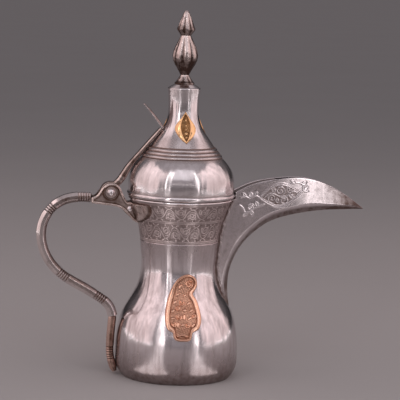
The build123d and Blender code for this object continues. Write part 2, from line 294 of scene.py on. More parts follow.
def hammering(profile: Array, columns: int, depth: float, seed: int) -> Array:
    """The slight unevenness of raised sheet: a sum of waves with whole numbers of periods round the axis."""
    rng = np.random.default_rng(seed)
    a = np.arange(columns) * 2 * np.pi / columns
    height = np.zeros((len(profile), columns))
    for periods, length in zip((2, 3, 5, 7, 9, 13, 16), (90, 70, 46, 60, 38, 30, 44)):
        phase, drift = rng.uniform(0, 2 * np.pi, 2)
        wave = np.sin(periods * a[None, :] + phase + 0.8 * np.sin(profile[:, 1:] / length + drift))
        height += wave * np.cos(2 * np.pi * profile[:, 1:] / length + drift) / math.sqrt(periods)
    for periods, length in zip((23, 31, 38, 47), (120, 90, 150, 75)):
        phase, drift = rng.uniform(0, 2 * np.pi, 2)
        wave = np.sin(periods * a[None, :] + phase + 2.2 * np.sin(2 * np.pi * profile[:, 1:] / length + drift))
        height += 0.16 * wave * (1 + 0.6 * np.sin(3 * a[None, :] + drift))
    return depth * height / 3


def finish_piece(
    piece: bpy.types.Object, body: str, slot: str, finish: "Finish", *nodes: str, sharp: float | None = None
) -> None:
    """Gives a piece its finish, hangs it on the empty of the body that carries it, and hides the model's nodes that it
    stands for.

    Args:
        piece: the piece.
        body: the body that carries it.
        slot: the model's material slot that it belongs to; not used.
        finish: its finish.
        nodes: the model's nodes that it replaces.
        sharp: the bend in degrees over which an edge is shaded sharp, if any is.
    """
    if sharp is not None:
        piece.data.set_sharp_from_angle(angle=math.radians(sharp))
    piece.data.materials.clear()
    piece.data.materials.append(finish.material)
    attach(piece, body)
    if nodes:
        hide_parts(*nodes)
    LOG.info("%s: %d faces on %s", piece.name, len(piece.data.polygons), body)


# ------------------------------------------------------------------------------------------------ shaders
class Wire:
    """A shader socket that takes part in arithmetic: each operator adds one Math node."""

    def __init__(self, kit: "ShaderKit", socket: bpy.types.NodeSocket) -> None:
        self.kit, self.socket = kit, socket

    def __add__(self, other: "Wire | float") -> "Wire":
        """self + other"""
        return self.kit.maths("ADD", self, other)

    def __sub__(self, other: "Wire | float") -> "Wire":
        """self - other"""
        return self.kit.maths("SUBTRACT", self, other)

    def __mul__(self, other: "Wire | float") -> "Wire":
        """self * other"""
        return self.kit.maths("MULTIPLY", self, other)

    def between(self, low: float, high: float) -> "Wire":
        """0 under low, 1 over high, and straight between them."""
        node = self.kit.node("ShaderNodeMapRange", {"clamp": True}, {"Value": self, "From Min": low, "From Max": high})
        return node["Result"]


class ShaderKit:
    """Builds one material's nodes."""

    def __init__(self, name: str) -> None:
        """Starts an empty material."""
        self.material = bpy.data.materials.new(name)
        self.material.use_nodes = True
        self.tree = self.material.node_tree
        self.tree.nodes.clear()

    def node(self, kind: str, settings: dict | None = None, inputs: dict | None = None) -> dict[str, Wire]:
        """Adds a node.

        Args:
            kind: the node's type.
            settings: its properties.
            inputs: values or wires by socket name, or by index.

        Returns:
            Its outputs by name.
        """
        node = self.tree.nodes.new(kind)
        for key, value in (settings or {}).items():
            setattr(node, key, value)
        for key, value in (inputs or {}).items():
            socket = node.inputs[key]
            if isinstance(value, Wire):
                self.tree.links.new(value.socket, socket)
            elif isinstance(value, tuple) and len(value) == 3 and len(socket.default_value) == 4:
                socket.default_value = (*value, 1.0)
            else:
                socket.default_value = value
        return {output.name: Wire(self, output) for output in node.outputs}

    def maths(self, operation: str, a: "Wire | float", b: "Wire | float") -> Wire:
        """One Math node."""
        return self.node("ShaderNodeMath", {"operation": operation}, {0: a, 1: b})["Value"]

    def mix(self, mask: Wire, low: "Wire | Colour", high: "Wire | Colour") -> Wire:
        """A blend of two colours."""
        node = self.tree.nodes.new("ShaderNodeMix")
        node.data_type = "RGBA"
        self.tree.links.new(mask.socket, node.inputs[0])
        for socket, value in ((node.inputs[6], low), (node.inputs[7], high)):
            if isinstance(value, Wire):
                self.tree.links.new(value.socket, socket)
            else:
                socket.default_value = (*value, 1.0)
        return Wire(self, node.outputs[2])

    def noise(self, where: Wire, scale: float, detail: float = 3.0, roughness: float = 0.55) -> Wire:
        """Even noise, 0 to 1."""
        values = {"Vector": where, "Scale": scale, "Detail": detail, "Roughness": roughness}
        return self.node("ShaderNodeTexNoise", None, values)["Fac"]

    def place(self, scale: Sequence[float] = (1, 1, 1)) -> Wire:
        """Object coordinates, scaled."""
        where = self.node("ShaderNodeTexCoord")["Object"]
        return self.node("ShaderNodeMapping", None, {"Vector": where, "Scale": tuple(scale)})["Vector"]

    def attribute(self, name: str) -> Wire:
        """A value stored on the piece's points."""
        return self.node("ShaderNodeAttribute", {"attribute_name": name})["Fac"]

    def finish(self, **inputs: "Wire | float | Colour") -> bpy.types.Material:
        """Adds the shader and the output, with the shader's inputs given by name, spaces as underscores."""
        named = {key.replace("_", " "): value for key, value in inputs.items()}
        shader = self.node("ShaderNodeBsdfPrincipled", None, named)["BSDF"]
        self.node("ShaderNodeOutputMaterial", None, {"Surface": shader})
        return self.material


@dataclass(frozen=True)
class Metal:
    """A worked metal: bright where it is rubbed, darker and duller where the tarnish stays and where painted shade is
    laid on.
    """

    name: str
    bright: Colour
    stain_and_shade: Colour
    roughness: float = 0.12
    spread: float = 0.12
    dull: float = 0.35
    patchy: float = 0.25
    hammer: float = 0.0
    grain: float = 0.02
    streaks: float = 0.0

    def build(self) -> bpy.types.Material:
        """Makes the material.

        The darkening is a sum of cloudy patches and the piece's own grime value, which holds tarnish and painted shade
        and is 0 where it has none. The bump is planishing marks, fine upright scratches, and pits.
        """
        kit = ShaderKit(self.name)
        here = kit.place()
        cloud = kit.noise(here, 34.0, 4.0, 0.6)
        fine = kit.noise(here, 260.0, 5.0, 0.65)
        brushed = kit.noise(kit.place((1, 1, 0.15)), 900.0, 3.0, 0.6)
        patch = (cloud.between(0.52, 0.78) * 0.7 + fine.between(0.5, 0.8) * 0.3) * self.patchy
        # the piece's own value: tarnish, and on some pieces painted shade and painted highlights
        hold = kit.attribute("grime") * (fine * 0.7 + 0.62)
        stain_and_shade = (patch + hold).between(0.0, 1.0)
        tint = tuple(c * 0.93 for c in self.bright)
        clean = kit.mix(cloud.between(0.3, 0.7), self.bright, tint)
        drawn = kit.noise(kit.place((1, 1, 0.09)), 230.0, 2.0, 0.5).between(0.44, 0.66) * self.streaks
        streaked = kit.mix(drawn, clean, tuple(b * 0.55 + d * 0.35 for b, d in zip(self.bright, self.stain_and_shade)))
        colour = kit.mix(stain_and_shade, streaked, self.stain_and_shade)
        wear = cloud * self.spread + (brushed - 0.5) * (self.spread * 0.5) + drawn * 0.12
        rough = wear + stain_and_shade * self.dull + (self.roughness - self.spread * 0.4)
        marks = {"Vector": here, "Scale": 95.0, "Smoothness": 0.8}
        hammered = kit.node("ShaderNodeTexVoronoi", {"feature": "SMOOTH_F1"}, marks)
        relief = hammered["Distance"] * self.hammer + brushed * self.grain + fine * (self.grain + 0.02)
        bump = kit.node("ShaderNodeBump", None, {"Strength": 0.35, "Distance": 0.0006, "Height": relief})["Normal"]
        return kit.finish(Base_Color=colour, Metallic=1.0, Roughness=rough.between(0.0, 1.0), Normal=bump)


class Finish(Enum):
    """The finishes of this pot."""

    POLISHED = Metal(
        "polished_sheet", (0.87, 0.80, 0.805), (0.27, 0.185, 0.16),
        roughness=0.13, spread=0.14, dull=0.3,
        patchy=0.35, hammer=0.5, grain=0.03, streaks=0.4,
    )
    BULB = Metal(
        "rubbed_sheet", (0.87, 0.79, 0.80), (0.22, 0.15, 0.135),
        roughness=0.13, spread=0.13, dull=0.22,
        patchy=0.3, hammer=0.7, grain=0.04, streaks=0.7,
    )
    CHASED = Metal(
        "chased_sheet", (0.88, 0.75, 0.735), (0.12, 0.078, 0.068),
        roughness=0.20, spread=0.12, dull=0.22,
        patchy=0.4, hammer=0.2, grain=0.05, streaks=0.2,
    )
    SPOUT = Metal(
        "spout_sheet", (0.87, 0.79, 0.80), (0.17, 0.115, 0.10),
        roughness=0.11, spread=0.10, dull=0.25,
        patchy=0.75, hammer=0.3, grain=0.02, streaks=0.2,
    )
    FINIAL = Metal(
        "finial_cast", (0.86, 0.72, 0.68), (0.07, 0.042, 0.034),
        roughness=0.08, spread=0.10, dull=0.3,
        patchy=0.95, hammer=0.6, grain=0.05,
    )
    FORGED = Metal(
        "forged_bar", (0.95, 0.85, 0.83), (0.14, 0.092, 0.078),
        roughness=0.10, spread=0.10, dull=0.3,
        patchy=0.5, hammer=0.5, grain=0.05, streaks=0.3,
    )
    TARNISHED = Metal(
        "tarnished_plate", (0.80, 0.66, 0.61), (0.115, 0.068, 0.052),
        roughness=0.17, spread=0.15, dull=0.3,
        patchy=0.95, hammer=0.9, grain=0.08,
    )
    BROWNED = Metal(
        "browned_bar", (0.74, 0.52, 0.44), (0.12, 0.06, 0.04),
        roughness=0.2, spread=0.15, dull=0.3,
        patchy=0.8, hammer=0.6, grain=0.06,
    )
    GILT = Metal(
        "copper_gilt", (0.98, 0.575, 0.405), (0.35, 0.155, 0.095),
        roughness=0.11, spread=0.12, dull=0.25,
        patchy=0.3, hammer=0.3, grain=0.03,
    )
    YELLOW_GILT = Metal(
        "yellow_gilt", (0.95, 0.575, 0.295), (0.16, 0.065, 0.02),
        roughness=0.12, spread=0.1, dull=0.2,
        patchy=0.25, hammer=0.2, grain=0.03,
    )

    @property
    def material(self) -> bpy.types.Material:
        """The finish's material, made once."""
        return bpy.data.materials.get(self.value.name) or self.value.build()


# ------------------------------------------------------------------------------------------------ body
BODY_OUTLINE: tuple[Point, ...] = (
    (44.5, 0.0), (48.4, 5.5), (50.6, 20.0), (49.6, 36.0), (44.2, 54.5), (36.6, 67.5), (32.2, 79.5), (30.7, 91.6),
    (31.6, 104.0), (33.4, 120.5), (36.8, 133.5), (42.5, 147.5),
)
SPIRE_OUTLINE: tuple[Point, ...] = (
    (32.6, 180.8), (28.0, 186.8), (22.4, 194.8), (16.7, 203.0), (13.4, 211.3), (12.3, 221.5), (13.3, 236.4),
)
RIM_Z = BODY_OUTLINE[-1][1]
BODY_CURVE = smooth_curve(BODY_OUTLINE, 600)
SPIRE_CURVE = smooth_curve(SPIRE_OUTLINE, 300)


def radius_at(curve: Array, z: Array) -> Array:
    """The radius of a turned surface at a height."""
    return np.interp(z, curve[:, 1], curve[:, 0])


@dataclass
class Body:
    """The raised bulb and neck, with the chased band under the mouth."""

    sheet: float = 1.2
    band_low: float = 112.6
    band_middle: float = 130.6
    scrolls: int = 13
    band_radius: float = 37.0
    # where each register starts, how high it is, and where its vine starts, in periods
    registers: tuple[tuple[float, float, float], ...] = ((115.0, 14.6, 0.0), (131.8, 12.6, 0.25))
    relief: float = 0.22
    unevenness: float = 0.30

    def build(self) -> None:
        """Makes the bulb and the band."""
        self.bulb()
        self.band()

    def shell(self, outer: Array, inner_rows: int) -> Array:
        """A closed outline: up the outside of the sheet and down the inside."""
        inner = resample(inward(outer, self.sheet), inner_rows)[::-1]
        return np.concatenate([outer, inner])

    def bulb(self) -> None:
        """The plain lower body, up to the band."""
        columns, rows = 288, 150
        cut = BODY_CURVE[BODY_CURVE[:, 1] <= self.band_low]
        outer = resample(np.vstack([cut, [radius_at(BODY_CURVE, self.band_low), self.band_low]]), rows)
        profile = self.shell(outer, 40)
        fade = step(0.0, 8.0, profile[:, 1:]) * (1 - step(self.band_low - 8, self.band_low, profile[:, 1:]))
        out = hammering(profile, columns, self.unevenness, 3) * fade
        grime = np.zeros((len(profile), columns))
        # darker towards the bottom and just under the band
        grime[:] = 0.78 * (1 - step(0.0, 36.0, profile[:, 1:])) + 0.4 * step(92.0, self.band_low, profile[:, 1:])
        piece = grid_mesh("body_bulb_sheet", turned(profile, columns, out), wrap_rows=True, grime=grime)
        finish_piece(piece, "pot", "polished_silver", Finish.BULB, "body_bulb")

    def vine(self, along: Array, up: Array, height: float, shift: float) -> Array:
        """A running vine with a scroll in each bend.

        Args:
            along: the way round the neck, in periods.
            up: the height in the register, in millimetres.
            height: the register's height.
            shift: the start of the vine, in periods.

        Returns:
            The raised lines, 0 to 1.
        """
        period = 2 * np.pi * self.band_radius / self.scrolls
        phase = along + shift + 0.03 * np.sin(2 * np.pi * along / self.scrolls * 5 + up * 0.4)
        half = np.floor(2 * phase)
        flip = np.where(half % 2 == 0, 1.0, -1.0)
        x = (2 * phase - half - 0.5) * period / 2
        y = (up - height / 2) * flip
        sway = height * 0.33
        stem = np.abs(y - sway * np.cos(np.pi * x / (period / 2)))
        stem = stem / np.sqrt(1 + (sway * np.pi / (period / 2) * np.sin(np.pi * x / (period / 2))) ** 2)
        parts = (
            Curl((0.2, -height * 0.10), height * 0.27, 1.9, 1, 1.9),
            Leaf((-1.2, height * 0.04), (-3.6, -height * 0.30), 0.9),
            Leaf((1.5, height * 0.02), (3.7, -height * 0.34), 0.9),
            Petal((-1.0, height * 0.36), (-3.4, height * 0.47), 0.6),
            Petal((1.0, height * 0.36), (3.4, height * 0.47), 0.6),
            Petal((0.2, -height * 0.36), (0.6, -height * 0.5), 0.8),
        )
        return np.maximum(ornament(x, y, parts, 0.36), ridge(stem, 0.38))

    def band(self) -> None:
        """The neck above the plain body: two registers of scrolls between ruled lines, and the mouth."""
        columns, rows, low = 640, 106, self.band_low
        z = np.linspace(low, RIM_Z, rows)
        outer = np.stack([radius_at(BODY_CURVE, z), z], axis=1)
        profile = self.shell(outer, 16)
        a = (np.arange(columns) / columns)[None, :] * np.ones((rows, 1))
        up = outer[:, 1:] * np.ones((1, columns))
        vines = [
            self.vine(a * self.scrolls, up - start, height, shift) * ((up > start) & (up < start + height))
            for start, height, shift in self.registers
        ]
        ruled = (113.6, 114.8, self.band_middle - 0.5, self.band_middle + 0.7, 144.9)
        lines = sum(ridge(up - at, 0.35) for at in ruled)
        raised = np.maximum(np.maximum(*vines), np.clip(lines, 0, 1))
        field_mask = step(113.0, 114.4, up) * (1 - step(144.6, 145.6, up))
        ground = stipple(a * 2 * np.pi * self.band_radius, up, 1.5)
        out = np.zeros((len(profile), columns))
        out[:rows] = (self.relief * (raised - 0.75) + 0.05 * ground * (1 - raised)) * field_mask
        out[0] = 0.0
        grime = np.full((len(profile), columns), 0.6)
        grime[:rows] = (0.66 - 0.6 * raised + 0.12 * ground) * field_mask + 0.45 * (1 - field_mask)
        piece = grid_mesh("body_neck_sheet", turned(profile, columns, out), wrap_rows=True, grime=grime)
        finish_piece(piece, "pot", "polished_silver", Finish.CHASED, "body_neck")


# ------------------------------------------------------------------------------------------------ lid
@dataclass
class Lid:
    """The ribbed dome and spire, and the rolled bead at the edge; the cap that closes the spire is made with the
    finial.
    """

    sheet: float = 1.2
    dome: tuple[Point, ...] = ((43.2, 152.0), (43.3, 158.5), (42.4, 166.0), (39.2, 173.0), (32.6, 180.8))
    bead_radius: float = 42.0
    bead_tube: float = 2.3
    bead_height: float = 150.3
    rib_pitch: float = 2.7
    rib_depth: float = 0.85
    dome_unevenness: float = 0.50
    spire_unevenness: float = 0.26
    columns: int = 288

    def build(self) -> None:
        """Makes the lid's sheets."""
        self.make_dome()
        self.make_spire()
        self.make_bead()

    def make_dome(self) -> None:
        """The lower dome."""
        outer = smooth_curve(self.dome, 80)
        profile = np.concatenate([outer, resample(inward(outer, self.sheet), 20)[::-1]])
        fade = step(152.0, 157.0, profile[:, 1:]) * (1 - step(174.0, 180.0, profile[:, 1:]))
        out = hammering(profile, self.columns, self.dome_unevenness, 11) * fade
        grime = 0.55 * (1 - step(152.0, 155.0, profile[:, 1:])) + 0.5 * step(177.5, 180.5, profile[:, 1:])
        piece = grid_mesh("lid_dome_sheet", turned(profile, self.columns, out), wrap_rows=True, grime=grime)
        finish_piece(piece, "lid", "polished_silver", Finish.POLISHED, "lid_dome")

    def make_spire(self) -> None:
        """The spire with its three ribs: each is the square root of a half sine along the outline."""
        outer = resample(SPIRE_CURVE, 260)
        z = outer[:, 1]
        run = np.r_[0, np.cumsum(np.linalg.norm(np.diff(outer, axis=0), axis=1))]
        ribs_end = 3 * self.rib_pitch * 1.25
        rib = np.where(run < ribs_end, np.abs(np.sin(np.pi * run / (self.rib_pitch * 1.25))), 0.0)
        normal = inward(outer, -1.0) - outer
        ribbed = outer + normal * (self.rib_depth * np.sqrt(rib))[:, None]
        (top_r, top_z), t = SPIRE_OUTLINE[-1], np.linspace(0, np.pi / 2, 8)
        shoulder = np.stack([top_r - 1.1 * (1 - np.cos(t)), top_z + 0.9 * np.sin(t)], axis=1)
        inner = resample(inward(outer, self.sheet), 30)[::-1]
        profile = np.concatenate([ribbed, shoulder, inner])
        fade = step(190.0, 198.0, profile[:, 1:]) * (1 - step(226.0, 234.0, profile[:, 1:]))
        out = hammering(profile, self.columns, self.spire_unevenness, 5) * fade
        grime = np.zeros((len(profile), 1))
        grime[: len(outer), 0] = 0.9 * (1 - rib) * (run < ribs_end + 1.0) + 0.15 * step(226.0, 236.0, z)
        grime[: len(outer), 0] += 0.3 * (1 - step(190.0, 206.0, z))
        piece = grid_mesh("lid_spire_sheet", turned(profile, self.columns, out), wrap_rows=True, grime=grime)
        finish_piece(piece, "lid", "polished_silver", Finish.POLISHED, "lid_spire")

    def make_bead(self) -> None:
        """The rolled bead: a flattened tube round the lid's edge."""
        t = np.linspace(0, 2 * np.pi, 40, endpoint=False)
        centre = np.array((self.bead_radius, self.bead_height))
        profile = centre + self.bead_tube * np.stack([np.cos(t), np.sin(t)], axis=1)
        a = np.arange(self.columns) * 2 * np.pi / self.columns
        out = 0.05 * np.sin(7 * a + 1) + 0.04 * np.sin(19 * a) + np.zeros((len(profile), 1))
        # painted shade on the bead's underside, and a darker band along its top
        grime = 0.5 * step(0.2, 0.95, -np.sin(t))[:, None] + 0.4 * step(0.7, 1.0, np.sin(t))[:, None]
        piece = grid_mesh("lid_bead_roll", turned(profile, self.columns, out), wrap_rows=True, grime=grime)
        finish_piece(piece, "lid", "polished_silver", Finish.POLISHED, "lid_bead")


@dataclass
class Finial:
    """The cap, the socket, the fluted bulb and the faceted bud."""

    cap: tuple[Point, ...] = (
        (0.0, 235.2), (12.9, 236.2), (13.0, 236.9), (11.8, 237.9), (9.6, 239.2), (8.2, 240.0), (0.0, 240.2),
    )
    socket: tuple[Point, ...] = (
        (8.0, 240.0), (8.1, 241.0), (7.2, 242.0), (6.2, 243.4), (4.4, 245.9), (3.5, 247.6),
    )
    bulb: tuple[Point, ...] = (
        (3.5, 247.6), (6.2, 252.5), (9.3, 258.0), (10.4, 262.6), (9.3, 268.4), (7.0, 273.6), (4.2, 279.4),
    )
    bud: tuple[Point, ...] = (
        (4.2, 279.4), (5.8, 281.8), (7.4, 284.6), (6.9, 286.2), (5.3, 290.6), (3.4, 295.2), (1.9, 298.4), (0.9, 299.7),
    )
    flute_turn: float = 0.35
    columns: int = 192

    def build(self) -> None:
        """Makes the four turned pieces."""
        self.bead_piece("spire_cap_roof", resample(np.array(self.cap), 60), 0, 0.0, 0.12, "spire_cap")
        self.bead_piece("finial_socket_cone", smooth_curve(self.socket, 40), 8, 0.04, 0.45, "finial_socket")
        self.bead_piece("finial_bulb_fluted", smooth_curve(self.bulb, 110), 8, 0.13, 0.6, "finial_bulb")
        self.bead_piece("finial_bud_faceted", smooth_curve(self.bud, 80), 8, 0.10, 0.45, "finial_bud")

    def bead_piece(self, name: str, outline: Array, flutes: int, depth: float, low_shade: float, node: str) -> None:
        """One bead: its radius dips between the flutes by a share of itself.

        Args:
            name: the piece's name.
            outline: its radius and height.
            flutes: how many lobes go round, or 0.
            depth: the dip, as a share of the radius.
            low_shade: how much painted shade it has low down.
            node: the model's node that it stands for.
        """
        low, high = [0.0, outline[0, 1]], [0.0, outline[-1, 1]]
        profile = np.vstack([low, outline, high])
        a = np.arange(self.columns) * 2 * np.pi / self.columns
        dip = (1 - np.abs(np.sin(flutes * (a + self.flute_turn) / 2)) ** 0.55)[None, :] * (flutes > 0)
        up = (profile[:, 1:] - low[1]) / (high[1] - low[1])
        swell = np.sin(np.pi * np.clip(up, 0, 1)) ** 0.5
        out = -depth * profile[:, :1] * dip * swell
        under = 1 - step(0.2, 0.62, up)
        knocks = 0.12 * np.sin(9 * a + 21 * up) * np.sin(5 * a - 33 * up + 1.0)
        out = out + knocks * swell * (flutes > 0)
        # painted shade on the lower part of each bead, and tarnish in the flutes
        grime = np.clip(low_shade * (0.3 + 1.3 * under) + 1.1 * dip**1.3 * swell, 0, 1)
        piece = grid_mesh(name, turned(profile, self.columns, out), grime=grime)
        finish_piece(piece, "lid", "polished_silver", Finish.FINIAL if flutes else Finish.POLISHED, node, sharp=50)


# ------------------------------------------------------------------------------------------------ spout
@dataclass
class Spout:
    """The beak: a trough with a pointed keel that bends and narrows, chased on both flat sides."""

    wall: float = 1.1
    # keel x and z, the angle from the keel to the top edge, the depth, the chine's height and half-width, and the
    # top's half-width
    stations: tuple[tuple[float, ...], ...] = (
        (43.6, 55.0, 180, 17, 1.6, 3.2, 4.5),
        (41.4, 72.0, 180, 17, 4.4, 6.3, 7.0),
        (42.0, 85.0, 173, 19, 4.8, 7.6, 8.0),
        (45.6, 97.0, 161, 26, 5.2, 8.2, 8.6),
        (50.2, 106.0, 148, 36, 5.5, 8.4, 8.8),
        (57.4, 115.2, 136, 42, 6.0, 8.4, 8.7),
        (65.2, 122.1, 127, 38.0, 6.3, 8.0, 8.3),
        (73.4, 127.6, 120, 36.0, 6.6, 7.7, 7.6),
        (88.8, 133.2, 107.5, 32.6, 7.0, 7.2, 6.5),
        (104.8, 136.5, 100, 29.4, 6.3, 6.1, 4.8),
        (120.9, 138.5, 94.5, 22.6, 5.0, 4.4, 3.2),
        (137.0, 139.2, 91.5, 13.0, 3.2, 2.9, 2.3),
        (147.0, 139.6, 90, 5.4, 1.7, 1.7, 1.5),
        (153.0, 139.7, 90, 0.8, 0.3, 0.5, 0.5),
    )
    scroll: tuple[Curl | Leaf | Vine, ...] = (
        Vine(((68.5, 148.6), (73.0, 152.6), (79.5, 150.6), (86.0, 149.6), (92.0, 154.4), (96.0, 153.4))),
        Curl((74.6, 148.4), 3.9, 1.7, 1, 0.5), Curl((81.5, 154.6), 4.2, 1.8, -1, 2.2),
        Curl((84.4, 146.9), 3.6, 1.6, 1, 3.6), Curl((89.6, 156.4), 2.9, 1.4, 1, 1.0),
        Leaf((76.0, 153.2), (75.4, 157.6), 1.3), Leaf((89.0, 150.6), (93.4, 149.6), 1.2),
        Leaf((78.6, 149.0), (79.4, 144.6), 1.1),
    )
    sprays: tuple[Curl | Leaf | Vine, ...] = (
        Vine(((99.0, 153.6), (102.6, 156.4), (99.6, 160.6), (94.0, 161.2), (90.0, 160.4))),
        Curl((102.6, 157.6), 2.3, 1.3, 1, 0.4), Leaf((99.4, 159.8), (103.4, 162.2), 1.0),
        Leaf((94.6, 161.2), (90.4, 163.2), 0.8), Leaf((100.6, 155.6), (105.2, 154.4), 0.9),
        Vine(((64.5, 148.6), (60.0, 150.4), (56.0, 148.4), (52.0, 149.8), (48.6, 149.0))),
        Curl((57.0, 151.4), 1.9, 1.3, 1, 2.0), Leaf((60.0, 150.4), (62.0, 153.6), 0.8),
        Leaf((52.4, 149.6), (50.2, 152.6), 0.8),
        Vine(((68.0, 143.6), (62.5, 141.6), (57.0, 138.0), (53.0, 136.2), (50.2, 140.6), (47.4, 142.8))),
        Curl((57.4, 140.9), 2.7, 1.5, -1, 0.9), Leaf((54.6, 136.8), (50.6, 134.0), 1.1),
        Leaf((57.2, 138.0), (58.6, 133.9), 1.0), Leaf((62.6, 141.6), (61.2, 145.6), 1.0),
    )
    oval_left: Point = (64.5, 148.6)
    oval_right: Point = (99.0, 153.6)
    oval_half: float = 10.0
    seam: float = 0.45
    bridge_thick: float = 0.9
    bridge_crown: float = 0.9
    rows: int = 370
    relief: float = 0.19

    def build(self) -> None:
        """Makes the beak and the cover over its root."""
        self.beak()
        self.bridge()

    def path(self, count: int) -> Array:
        """The stations, splined."""
        table = np.array(self.stations)
        t = np.r_[0.0, np.cumsum(np.hypot(*np.diff(table[:, :2], axis=0).T))]
        fine = np.linspace(0, t[-1], 2000)
        crowd = np.cumsum(1 + 2.6 * (step(42.0, 56.0, fine) - step(112.0, 124.0, fine)))
        return spline_at(table, t, np.interp(np.linspace(crowd[0], crowd[-1], count), crowd, fine))

    def beak(self) -> None:
        """The trough: at each station a closed outline runs down one outer side, up the other and back inside."""
        s = self.path(self.rows)
        x, z, angle, depth, chine_h, chine_w, top_w = s.T
        wall = np.minimum(self.wall, top_w * 0.55)
        inner_top = depth - wall * 0.2
        floor = wall * 1.3
        inner_w = np.maximum(chine_w - wall, 0.1 * chine_w)
        corners = [
            (-top_w, depth), (-chine_w, chine_h), (0 * x, 0 * x), (chine_w, chine_h), (top_w, depth),
            (top_w - wall, inner_top), (inner_w, chine_h + wall * 0.35), (0 * x, np.minimum(floor, 0.8 * depth)),
            (-inner_w, chine_h + wall * 0.35), (wall - top_w, inner_top),
        ]
        cuts = [0.35, 1.3, 0.6, 1.3, 0.35, 0.3, 0.5, 0.5, 0.5, 0.3]
        runs = [92, 9, 9, 92, 2, 10, 4, 4, 10, 2]
        y, h, kind = self.softened(corners, cuts, runs)
        flat = np.zeros(y.shape)
        flat[:, kind == 0] = -1.0
        flat[:, kind == 3] = 1.0
        a = np.radians(angle)[:, None]
        px, pz = x[:, None] + np.cos(a) * h, z[:, None] + np.sin(a) * h
        raised, inside = self.chasing(px, pz)
        share = (h - chine_h[:, None]) / (depth - chine_h)[:, None]
        edge = step(0.02, 0.09, share) * (1 - step(0.93, 0.99, share))
        dents = 0.05 * np.sin(px / 7.0 + 1.3 * np.sin(pz / 9.0)) + 0.04 * np.sin(pz / 5.0 + px / 11.0)
        y = y + flat * (self.relief * (raised - 0.4 * inside) + dents) * edge
        wander = 1.5 + 0.3 * np.sin(pz / 1.9) + 0.2 * np.sin(pz / 0.83 + 1)
        seam = ridge(np.hypot(px, y) - radius_at(BODY_CURVE, pz) - wander, 0.55) * (pz < 148) * np.abs(flat)
        y = y + flat * self.seam * seam
        y, px = self.fit_to_body(y, px, pz)
        off = np.hypot(px, y) - radius_at(BODY_CURVE, pz)
        # The underside below the chine gets painted shade.
        under = (1 - step(-0.12, 0.0, share)) * (h < depth[:, None] * 0.9)
        # Painted highlights on the raised chased lines and painted shade on their ground.
        shade = inside * (0.8 - 0.85 * raised) + (1 - inside) * (0.3 - 0.4 * raised)
        grime = np.abs(flat) * edge * shade + 0.8 * under
        near_root = (1 - step(0.6, 3.6, off)) * (pz < 150)
        grime = grime + 0.85 * near_root * (1 - 0.9 * seam) + 0.75 * step(112.0, 153.0, px)
        grime = np.clip(grime, 0, 1)
        piece = grid_mesh("spout_beak_sheet", np.stack([px, y, pz], axis=-1), grime=grime)
        close_ends(piece)
        finish_piece(piece, "pot", "polished_silver", Finish.SPOUT, "spout_beak", sharp=35)

    @staticmethod
    def reach(cut: float, start: Array, end: Array) -> Array:
        """The share of each side that a corner's rounding takes up, at most 0.42."""
        return np.minimum(cut / np.maximum(np.linalg.norm(end - start, axis=1), 1e-6), 0.42)[:, None]

    def softened(
        self, corners: list[tuple[Array, Array]], cuts: list[float], runs: list[int]
    ) -> tuple[Array, Array, Array]:
        """A closed outline with its corners rounded: each corner is a parabola between two points on its sides.

        Args:
            corners: across and height of each corner, an array each with one value for each station.
            cuts: how far along its sides each corner's rounding starts.
            runs: how many points each straight side has.

        Returns:
            Across and height, stations by points, and for each point its side's number, or -1 on a corner.
        """
        count, spots, kind = len(corners), [], []
        points = [np.stack(c, axis=1) for c in corners]
        for k in range(count):
            here, after, before = points[k], points[(k + 1) % count], points[k - 1]
            first = here + (before - here) * self.reach(cuts[k], here, before)
            last = here + (after - here) * self.reach(cuts[k], here, after)
            stop = after + (here - after) * self.reach(cuts[(k + 1) % count], here, after)
            for t in np.linspace(0, 1, 6)[:-1]:
                spots.append(first * (1 - t) ** 2 + here * 2 * t * (1 - t) + last * t**2)
                kind.append(-1)
            for t in np.linspace(0, 1, runs[k] + 1)[:-1]:
                spots.append(last * (1 - t) + stop * t)
                kind.append(k)
        loop = np.stack(spots, axis=1)
        return loop[..., 0], loop[..., 1], np.array(kind)

    def fit_to_body(self, y: Array, px: Array, pz: Array) -> tuple[Array, Array]:
        """Moves whatever is inside the neck out to the middle of its sheet, away from the axis."""
        radius = np.hypot(px, y)
        limit = np.where(pz <= RIM_Z, radius_at(BODY_CURVE, pz) - 0.45, 45.0)
        scale = np.maximum(limit / np.maximum(radius, 1.0), 1.0)
        return y * scale, px * scale

    def chasing(self, x: Array, z: Array) -> tuple[Array, Array]:
        """The chased ornament: a pointed oval with a double edge, a scroll inside it, and sprays at both ends.

        Returns:
            The raised lines and the mask of the matted ground inside the oval, both 0 to 1.
        """
        left, right = self.oval_left, self.oval_right
        ax, az = right[0] - left[0], right[1] - left[1]
        length = math.hypot(ax, az)
        u = ((x - left[0]) * ax + (z - left[1]) * az) / length**2
        side = ((z - left[1]) * ax - (x - left[0]) * az) / length
        half = self.oval_half * np.sin(np.pi * np.clip(u, 0, 1)) ** 0.9
        gap = half - np.abs(side)
        on = (u > -0.02) & (u < 1.02)
        border = np.maximum(ridge(gap, 0.45), ridge(gap - 1.7, 0.4)) * on
        inside = step(1.7, 2.2, gap) * on
        scroll = ornament(x, z, self.scroll, 0.5)
        sprays = ornament(x, z, self.sprays, 0.5)
        ground = 0.12 * stipple(x, z, 1.6) * inside
        return np.maximum(np.maximum(border, scroll * inside), sprays * (gap < 0)) + ground, inside

